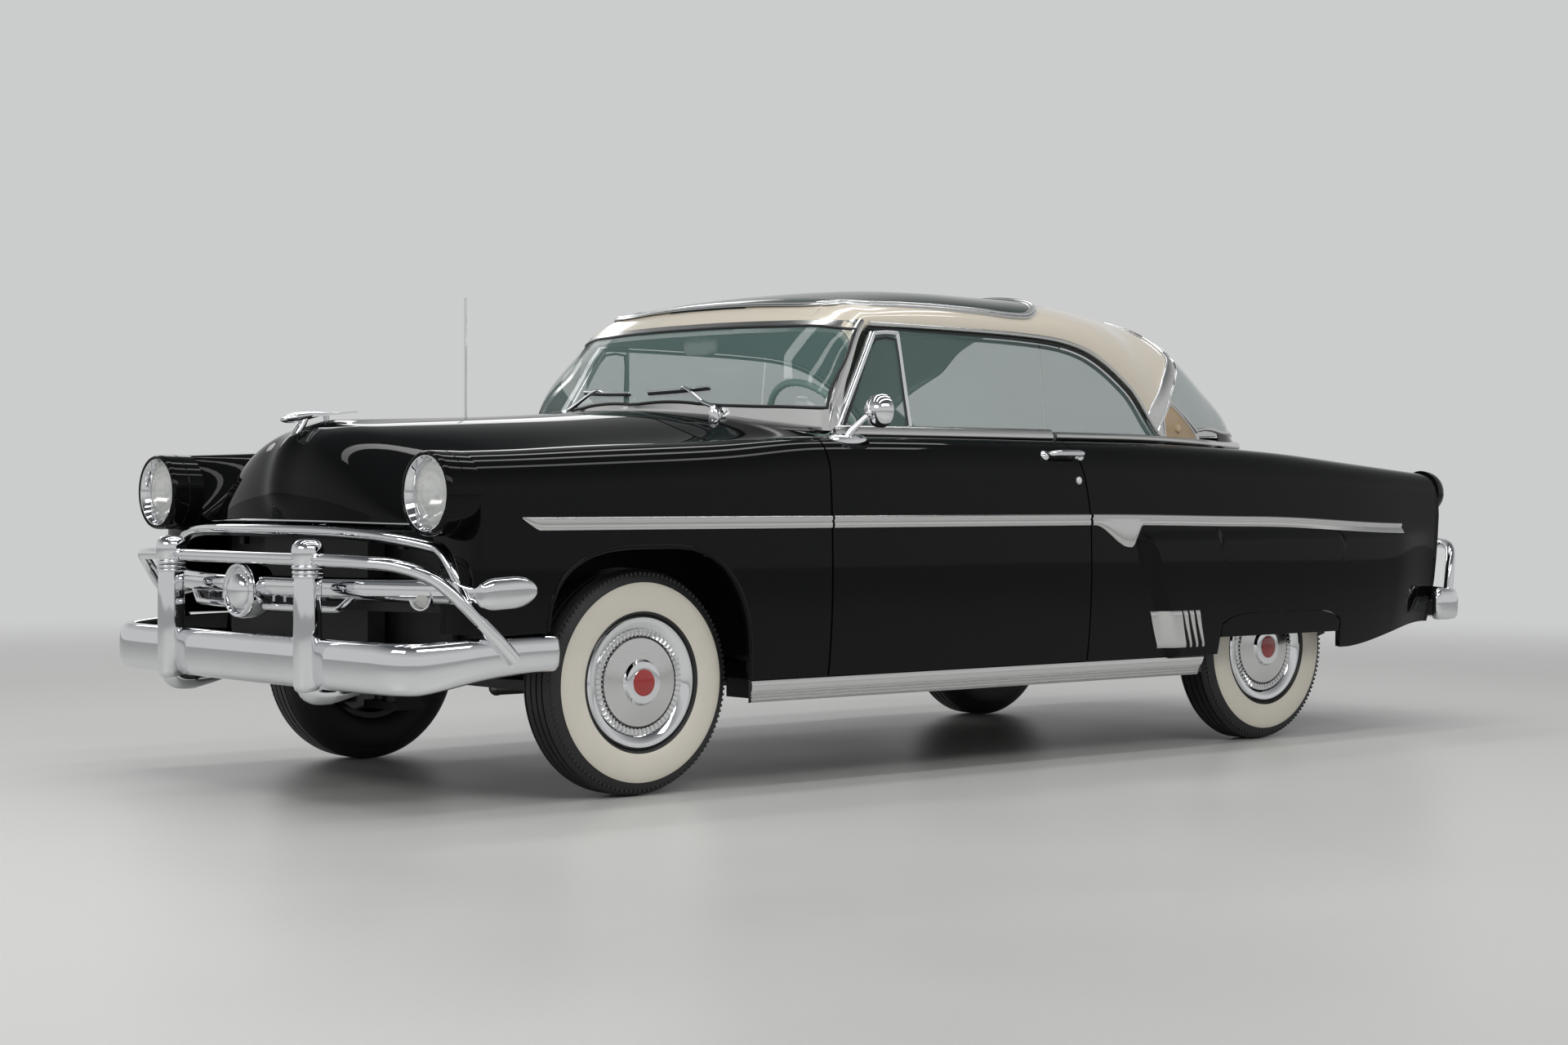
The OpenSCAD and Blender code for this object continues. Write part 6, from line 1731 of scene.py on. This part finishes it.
@dataclass
class RearEnd:
    """Rear bumper, guard, lamps and the sides of the trunk."""

    def build(self) -> None:
        """Makes the whole rear."""
        self._bumper()
        self._guard()
        for side in Side:
            self._lamp(side)
        self._liners()

    def _liners(self) -> None:
        """Dark sides of the trunk, from its floor up to the gutters."""
        x = np.linspace(-2.196, -1.730, 30)
        low, top = 0.606, SHAPE.zg(x) - 0.036
        rows = [(0.598, low), (0.635, low), (0.652, low + 0.004), (0.660, low + 0.018)]
        grid = [xyz(x, y, z) for y, z in rows]
        grid += [xyz(x, 0.660, mix(low + 0.018, top, s)) for s in np.linspace(0.1, 1, 10)]
        wall = np.stack(grid, 0)
        add_mesh("trunk_liners", both(shell(wall, wall + (0.0, 0.003, -0.003))), FRAME, sharp=50.0)

    def _bumper(self) -> None:
        """Chrome bar swept round at its ends."""
        v = np.linspace(-1, 1, 121)
        path = xyz(-2.538 + 0.030 + 0.210 * v ** 4, 0.880 * v, 0.480)
        end = smooth_path([path[-1], (-2.270, 0.888, 0.480), (-2.235, 0.890, 0.481), (-2.200, 0.889, 0.482)],
                          24)[1:]
        path = np.concatenate([flip(end, Side.RIGHT)[::-1], path, end])
        step = unit(np.gradient(path, axis=0))
        out = np.cross(UP, step)
        face = [(0.060, -0.002), (0.061, 0.012), (0.057, 0.028), (0.044, 0.037), (0.020, 0.040), (0.0, 0.0405),
                (-0.022, 0.040), (-0.046, 0.037), (-0.059, 0.028), (-0.0625, 0.012), (-0.061, -0.002)]
        up = np.broadcast_to(UP, path.shape)
        bar = [sweep(path, up, out, face)]
        for ring, way in ((0, -step[0]), (-1, step[-1])):
            rim = np.array([path[ring] + p * up[ring] + q * out[ring] for p, q in face])
            steps = ((1.0, -0.001), (0.93, 0.010), (0.78, 0.018), (0.5, 0.024), (0.1, 0.026))
            bar.append(capped(tip_rings(rim, way, steps)))
        piece = add_mesh("rear_bumper_bar", join(*bar), CHROME, sharp=50.0)
        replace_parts(piece, "rear_bumper")
        irons = [box((-2.505, side.value * 0.380 - 0.03, 0.41), (-2.3043, side.value * 0.380 + 0.03, 0.47))
                 for side in Side]
        add_mesh("rear_bumper_irons", join(*irons), FRAME)

    def _guard(self) -> None:
        """Posts with round caps and the tube bent down onto the bumper ends."""
        arm = smooth_path([(-2.528, 0.0, 0.712), (-2.528, 0.450, 0.712), (-2.520, 0.600, 0.712),
                           (-2.496, 0.700, 0.711), (-2.458, 0.765, 0.703), (-2.420, 0.805, 0.683),
                           (-2.392, 0.826, 0.650), (-2.372, 0.836, 0.605), (-2.356, 0.841, 0.535)], 80)
        parts = [tube(np.concatenate([flip(arm, Side.RIGHT)[:0:-1], arm]), GUARD_TUBE, 20)]
        post = (*POST_CAP, (0.0385, 0.6600), (POST_R, 0.6400), (POST_R, 0.4000), (0.0360, 0.3840), (0.0200, 0.3803),
                (0.0, 0.3803))
        parts += [lathe(post, (-GUARD_X, side.value * GUARD_Y, 0.0), UP, 64) for side in Side]
        guard = add_mesh("rear_guard_bars", join(*parts), CHROME, sharp=40.0)
        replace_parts(guard, "rear_guard")

    def _lamp(self, side: Side) -> None:
        """Round red lamp with a bright ring in a painted pod."""
        at = (TAIL - 0.020, side.value * (HALF_W - 0.162), 0.911)
        pod = [(0.070, -0.004), (0.086, -0.004), (0.0850, 0.016), (0.0815, 0.032), (0.0780, 0.040), (0.073, 0.038)]
        add_mesh(f"tail_pod_{side.word}", lathe(pod, at, (-1, 0, 0), 80), PAINT, sharp=40.0)
        ring = [(0.060, 0.036), (0.072, 0.036), (0.0755, 0.042), (0.0740, 0.049), (0.0680, 0.0515), (0.0620, 0.049)]
        add_mesh(f"tail_ring_{side.word}", lathe(ring, at, (-1, 0, 0), 80), CHROME, sharp=40.0)
        lens = [(0.0, 0.062), (0.010, 0.0615), (0.011, 0.0585), (0.030, 0.0565), (0.050, 0.0525), (0.063, 0.047),
                (0.065, 0.040), (0.065, 0.002), (0.0, 0.001)]
        piece = add_mesh(f"tail_lens_{side.word}", lathe(lens, at, (-1, 0, 0), 80), RED, sharp=30.0)
        if side is Side.LEFT:
            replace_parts(piece, "tail_lamps")


@dataclass
class EngineBay:
    """What stands on the engine: covers, air cleaner, fan, hoses and the filler cap."""

    deck: float = 0.800
    face: float = FX + 0.230
    fan_z: float = 0.640

    def build(self) -> None:
        """Makes the parts on the engine and the radiator."""
        s, a = down(40), over(18, 0, math.pi)
        end = np.maximum(1 - (2 * s - 1) ** 12, 0.0) ** 0.5
        covers = []
        for side in Side:
            y = side.value * 0.172 + 0.050 * end * signed(np.cos(a), 0.6)
            z = self.deck - 0.001 + 0.056 * end * np.maximum(np.sin(a), 0.0) ** 0.6
            rows = xyz(mix(FX - 0.310, FX + 0.200, s), y, z)
            covers.append((rows.reshape(-1, 3), grid_faces(40, 18, wrap=True)))
        add_mesh("valve_covers", join(*covers), IRON, sharp=50.0)
        pot = [(0.0, 0.919), (0.055, 0.919), (0.055, 0.944), (0.165, 0.950), (0.172, 0.960), (0.172, 0.995),
               (0.165, 1.004), (0.050, 1.010), (0.016, 1.012), (0.014, 1.022), (0.0, 1.024)]
        add_mesh("air_cleaner", lathe(pot, (FX - 0.080, 0, 0), (0, 0, 1), 72), RIM, sharp=35.0)
        hub = [(0.0, 0.075), (0.030, 0.074), (0.034, 0.066), (0.034, 0.030), (0.055, 0.028), (0.055, 0.004),
               (0.034, -0.001), (0.0, -0.001)]
        add_mesh("fan_hub", lathe(hub, (self.face, 0, self.fan_z), (1, 0, 0), 48), FRAME, sharp=35.0)
        Repeat("fan_blades", Layout.RING, 6, 0.095, (0.126, 0.050, 0.005), FRAME).build(
            axes((0, 1, 0), (0, 0, 1), (1, 0, 0), (self.face + 0.060, 0, self.fan_z)), "body", "frame_paint")
        upper = smooth_path([(FX + 0.080, 0.05, 0.885), (FX + 0.240, 0.06, 0.895), (FX + 0.430, 0.08, 0.830),
                             (FX + 0.585, 0.10, 0.755)], 40)
        lower = smooth_path([(FX + 0.225, -0.10, 0.530), (FX + 0.340, -0.12, 0.505), (FX + 0.470, -0.16, 0.490),
                             (FX + 0.585, -0.18, 0.490)], 40)
        add_mesh("radiator_hoses", join(tube(upper, 0.022, 16), tube(lower, 0.024, 16)), SEAL, sharp=50.0)
        cap = lathe([(0.0, 0.026), (0.028, 0.024), (0.034, 0.018), (0.033, 0.002), (0.026, -0.001), (0.0, -0.001)],
                    (FX + 0.600, 0, 0.790), (0, 0, 1), 40)
        add_mesh("filler_cap", cap, CHROME, sharp=40.0)


@dataclass
class Cabin:
    """Seats, dashboard and steering wheel."""

    lean: float = -14.0
    corner: float = 0.045

    def build(self) -> None:
        """Makes the inside."""
        self._seat("front", FX - 1.450, 0.512, 1.300, 0.420, "front_seat", 7)
        self._seat("rear", RX + 0.500, 0.602, 1.160, 0.330, "rear_seat", 6)
        legs = [box((FX - 1.690, y, 0.4083), (FX - 1.210, y + 0.10, 0.53))
                for y in (0.512 - HALF_W, HALF_W - 0.612)]
        add_mesh("seat_legs", join(*legs), FRAME)
        self._dash()
        self._wheel()

    def _pad(self, name: str, half: tuple[float, float, float], pleats: int, face: int) -> Part:
        """Rounded pad about the origin, swollen on one face and stitched into channels.

        Args:
            name: name for the log.
            half: half sizes along x, y and z.
            pleats: number of channels across y.
            face: axis of the swollen face, 0 for x and 2 for z.

        Returns:
            Points and faces.
        """
        n = 20
        wide = 110
        points, faces, start = [], [], 0
        for axis in range(3):
            for sign in (-1.0, 1.0):
                u_axis, v_axis = [k for k in range(3) if k != axis]
                u = np.linspace(-1, 1, wide if u_axis == 1 else n)[:, None]
                v = np.linspace(-1, 1, wide if v_axis == 1 else n)[None, :]
                p = np.zeros((u.shape[0], v.shape[1], 3))
                p[..., u_axis], p[..., v_axis], p[..., axis] = u + 0 * v, v + 0 * u, sign
                points.append(p.reshape(-1, 3))
                faces += grid_faces(u.shape[0], v.shape[1], start)
                start += u.shape[0] * v.shape[1]
        cube = np.concatenate(points)
        size = np.asarray(half)
        inner = np.maximum(size - self.corner, 0.004)
        core = np.clip(cube * size, -inner, inner)
        away = cube * size - core
        length = np.linalg.norm(away, axis=1, keepdims=True)
        reach = np.max(np.abs(away) / (size - inner), axis=1, keepdims=True)
        body = core + away / np.maximum(length, TINY) * self.corner * reach
        swell = np.prod([1 - np.clip(body[:, k] / size[k], -1, 1) ** 4 for k in range(3) if k != face], axis=0)
        front = np.clip(body[:, face] / size[face], 0, 1) ** 2
        pitch = 2 * half[1] / pleats
        seam = ((body[:, 1] / pitch + 0.5 * (pleats % 2)) % 1.0 - 0.5) * pitch
        groove = np.exp(-((np.abs(seam) - pitch / 2) / 0.010) ** 2)
        body[:, face] += front * swell * (0.018 - 0.016 * groove)
        LOG.info("%s: %d channels", name, pleats)
        return body, faces

    def _seat(self, name: str, x: float, z: float, width: float, back: float, node: str, pleats: int) -> None:
        """One bench: cushion and leaning back with piping."""
        seat, faces = self._pad(f"{name}_cushion", (0.262, width / 2, 0.076), pleats, 2)
        cushion = add_mesh(f"{name}_cushion", (seat + (x, 0, z + 0.0755), faces), CLOTH, sharp=70.0)
        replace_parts(cushion, node)
        rest, faces = self._pad(f"{name}_backrest", (0.064, width / 2, back / 2), pleats, 0)
        turn = math.radians(-self.lean)
        rest = rest + (0.065, 0, back / 2)
        lean = xyz(rest[:, 0] * math.cos(turn) - rest[:, 2] * math.sin(turn), rest[:, 1],
                   rest[:, 0] * math.sin(turn) + rest[:, 2] * math.cos(turn)) + (x - 0.26, 0, z + 0.11)
        piece = add_mesh(f"{name}_backrest", (lean, faces), CLOTH, sharp=70.0)
        up = np.array([-math.sin(turn), 0, math.cos(turn)])
        ahead = np.array([math.cos(turn), 0, math.sin(turn)])
        line = np.array([x - 0.26, 0, z + 0.11]) + back * 0.985 * up + 0.064 * ahead
        y = np.linspace(-width / 2 + 0.03, width / 2 - 0.03, 60)
        pipe = line[None] + xyz(0, y, 0)
        front = xyz(x + 0.256, y, z + 0.135)
        add_mesh(f"{name}_piping", join(tube(pipe, 0.006, 10), tube(front, 0.006, 10)), VINYL, sharp=70.0)

    def _dash(self) -> None:
        """Padded top, instrument hood with a dial, and a bright strip."""
        y = down(80, -0.684, 0.684)
        t = over(18)
        x = mix(1.050, 0.822, t) - 0.02 * np.sin(math.pi * t) + 0 * y
        hood = 0.055 * np.exp(-((y - DRIVER_Y) / 0.14) ** 2) * smooth_step(0.05, 0.75, t)
        z = 1.0105 + 0.022 * np.sin(math.pi * t) + hood
        grid = xyz(x, y, z - 0.05 * np.maximum(t - 0.9, 0) / 0.1)
        back = grid.copy()
        back[..., 2] = 0.965
        add_mesh("dash_top", shell(grid, back), DASH, sharp=50.0)
        dial = lathe([(0.0, 0.006), (0.050, 0.005), (0.058, 0.008), (0.062, 0.004), (0.062, -0.03), (0.0, -0.03)],
                     (0.826, DRIVER_Y, 1.020), (-0.97, 0, 0.24), 64)
        add_mesh("dash_dial", dial, DIAL, sharp=35.0)
        strip = xyz(0.826, y[:, 0], 0.982)
        add_mesh("dash_strip", tube(strip, 0.006, 10), CHROME, sharp=60.0)
        Repeat("dash_slots", Layout.ROW, 34, 0.42, (0.004, 0.004, 0.030), SEAL).build(
            axes((0, 1, 0), (-1, 0, 0), (0, 0, 1), (0.827, -0.46, 0.984)), "body", "dash_paint")

    def _wheel(self) -> None:
        """Two-spoke wheel with a grooved rim and a bright horn ring."""
        c = np.array([0.530, DRIVER_Y, 1.095])
        n = np.array([-math.cos(math.radians(30)), 0, math.sin(math.radians(30))])
        u = np.array([0, 1.0, 0])
        w = np.cross(n, u)
        turn = around(240)

        def ring(r: float, h: float) -> Array:
            """Circle of radius r at height h over the wheel's plane."""
            return c + h * n + r * (np.cos(turn)[:, None] * u + np.sin(turn)[:, None] * w)

        rim = tube(ring(0.208, 0.0), 0.0118 + 0.0011 * np.cos(44 * turn), 20, True)
        spokes = [tube(smooth_path([c + s * 0.03 * u - 0.008 * n, c + s * 0.10 * u - 0.010 * n - 0.01 * w,
                                    c + s * 0.203 * u], 20), np.linspace(0.016, 0.010, 20), 14) for s in (-1, 1)]
        hub = lathe([(0.0, 0.014), (0.020, 0.013), (0.034, 0.006), (0.037, -0.004), (0.036, -0.019), (0.0, -0.019)],
                    c, n, 48)
        piece = add_mesh("steering_rim", join(rim, *spokes, hub), MINT, "steering_wheel", sharp=45.0)
        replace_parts(piece, "steering_wheel")
        part = (turn > 0.15) & (turn < math.pi - 0.15)
        horn = ring(0.118, 0.006)[part]
        cap = lathe([(0.0, 0.022), (0.018, 0.0205), (0.026, 0.016), (0.028, 0.010), (0.0, 0.009)], c, n, 48)
        add_mesh("horn_ring", join(tube(horn, 0.0042, 12), cap), CHROME, "steering_wheel", sharp=45.0)


@dataclass
class Wheel:
    """One wheel with its cover and whitewall tyre."""

    name: str
    x: float
    y: float

    TYRE = ((0.198, 0.040), (0.200, 0.062), (0.203, 0.071), (0.207, 0.0765), (0.211, 0.0790), (0.2125, 0.0800),
            (0.2260, 0.0838), (0.2450, 0.0862), (0.2650, 0.0866), (0.2830, 0.0846), (0.2980, 0.0808),
            (0.2990, 0.0800), (0.3000, 0.0786), (0.3100, 0.0745), (0.3200, 0.0690), (0.3285, 0.0628),
            (0.3345, 0.0560), (0.3372, 0.0500))
    COVER = ((0.0, 0.0912), (0.036, 0.0906), (0.040, 0.0896), (0.0405, 0.0882), (0.056, 0.0880), (0.0625, 0.0868),
             (0.0665, 0.0800), (0.0690, 0.0766), (0.080, 0.0752), (0.132, 0.0672), (0.1335, 0.0640),
             (0.137, 0.0625), (0.159, 0.0640), (0.162, 0.0668), (0.165, 0.0690), (0.178, 0.0755), (0.188, 0.0785),
             (0.194, 0.0780), (0.1985, 0.0730), (0.2000, 0.0640), (0.1960, 0.0520), (0.100, 0.0500), (0.0, 0.0500))
    WHITE = ((WHITEWALL, 0.2118, 0.2994, 0.070),)
    INLAY = ((STEEL, 0.0680, 0.1325, 0.052), (RED_DISC, -1.0, 0.0395, 0.052))

    @property
    def axis(self) -> tuple[float, float, float]:
        """Direction of the wheel's outer face."""
        return (0.0, math.copysign(1.0, self.y), 0.0)

    @property
    def body(self) -> str:
        """Body of the frame that the wheel rides on."""
        return f"wheel_{self.name}"

    def build(self) -> None:
        """Makes tyre, cover and fins."""
        centre = (self.x, self.y, AXLE)
        grooves = []
        for at in (0.041, 0.0135):
            grooves += [(0.3395, at + 0.006), (0.3395, at + 0.0035), (0.3335, at + 0.003), (0.3335, at - 0.003),
                        (0.3400, at - 0.0035)]
        half = list(self.TYRE) + grooves
        profile = half + [(r, -h) for r, h in reversed(half)]
        tyre = add_mesh(f"tyre_{self.name}_skin", lathe(profile, centre, self.axis, 144), RUBBER, self.body,
                        sharp=30.0)
        self._finish_rings(tyre, self.WHITE)
        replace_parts(tyre, f"tyre_{self.name}")
        cover = add_mesh(f"cover_{self.name}", lathe(self.COVER, centre, self.axis, 128), CHROME, self.body,
                         sharp=28.0)
        self._finish_rings(cover, self.INLAY)
        place = axes((1, 0, 0), (0, 0, 1), self.axis, Vector(centre) + 0.0640 * Vector(self.axis))
        for kind, count, radius, size, finish, slot in (
                ("cover_fins", 60, 0.1480, (0.020, 0.0055, 0.0060), STEEL, "cover_chrome"),
                ("tyre_lugs", 120, 0.3215, (0.0150, 0.0075, 0.0100), RUBBER, "tyre_rubber")):
            ring = Repeat(f"{kind}_{self.name}", Layout.RING, count, radius, size, finish)
            ring.build(place, self.body, slot)

    def _finish_rings(self, piece: bpy.types.Object, rings: Sequence[tuple[Finish, float, float, float]]) -> None:
        """Gives rings on the outer face of a turned piece a finish of their own.

        Args:
            piece: tyre or cover.
            rings: finish, least and greatest radius, and least height of each ring.
        """
        for finish, low, high, height in rings:
            piece.data.materials.append(finish.make())
            last = len(piece.data.materials) - 1
            for face in piece.data.polygons:
                x, y, z = face.center
                if low < math.hypot(x - self.x, z - AXLE) < high and (y - self.y) * self.axis[1] > height:
                    face.material_index = last


def dress(node: str, finish: Finish) -> None:
    """Gives a node of the frame a finish of its own."""
    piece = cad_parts[node]
    piece.data.materials.clear()
    piece.data.materials.append(finish.make())
    piece.data.shade_smooth()
    piece.data.set_sharp_from_angle(angle=math.radians(32))
    LOG.info("%s: kept from the frame, %s", node, finish.name)


NODE_FINISH = {
    "chassis_frame": FRAME, "front_suspension": FRAME, "engine": IRON, "radiator": CORE, "rear_axle": FRAME,
    "leaf_springs": FRAME, "exhaust": PIPE, "fuel_tank": TANK, "body_floor": FRAME, "front_support": FRAME,
    "dashboard": DASH, "steering_column": DASH, "tail_panel": PAINT, "antenna": CHROME, "knuckle_left": FRAME,
    "knuckle_right": FRAME,
    "wheel_front_left": RIM, "wheel_front_right": RIM, "wheel_rear_left": RIM, "wheel_rear_right": RIM,
}


def main() -> None:
    """Builds the whole scene."""
    logging.basicConfig(level=logging.INFO, format="%(message)s")
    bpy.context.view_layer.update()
    Studio().build()
    for node, finish in NODE_FINISH.items():
        dress(node, finish)
    Panels().build()
    for side in Side:
        Door(side).build()
    house = Glasshouse()
    house.build()
    for part in (FrontEnd(), BrightTrim(), RoofTrim(house), DoorFittings(), RearEnd(), EngineBay(), Cabin()):
        part.build()
    for end, x, y in (("front", FX, 0.7365), ("rear", RX, 0.711)):
        for side in Side:
            Wheel(f"{end}_{side.word}", x, y * side.value).build()


if __name__ == "__main__":
    main()
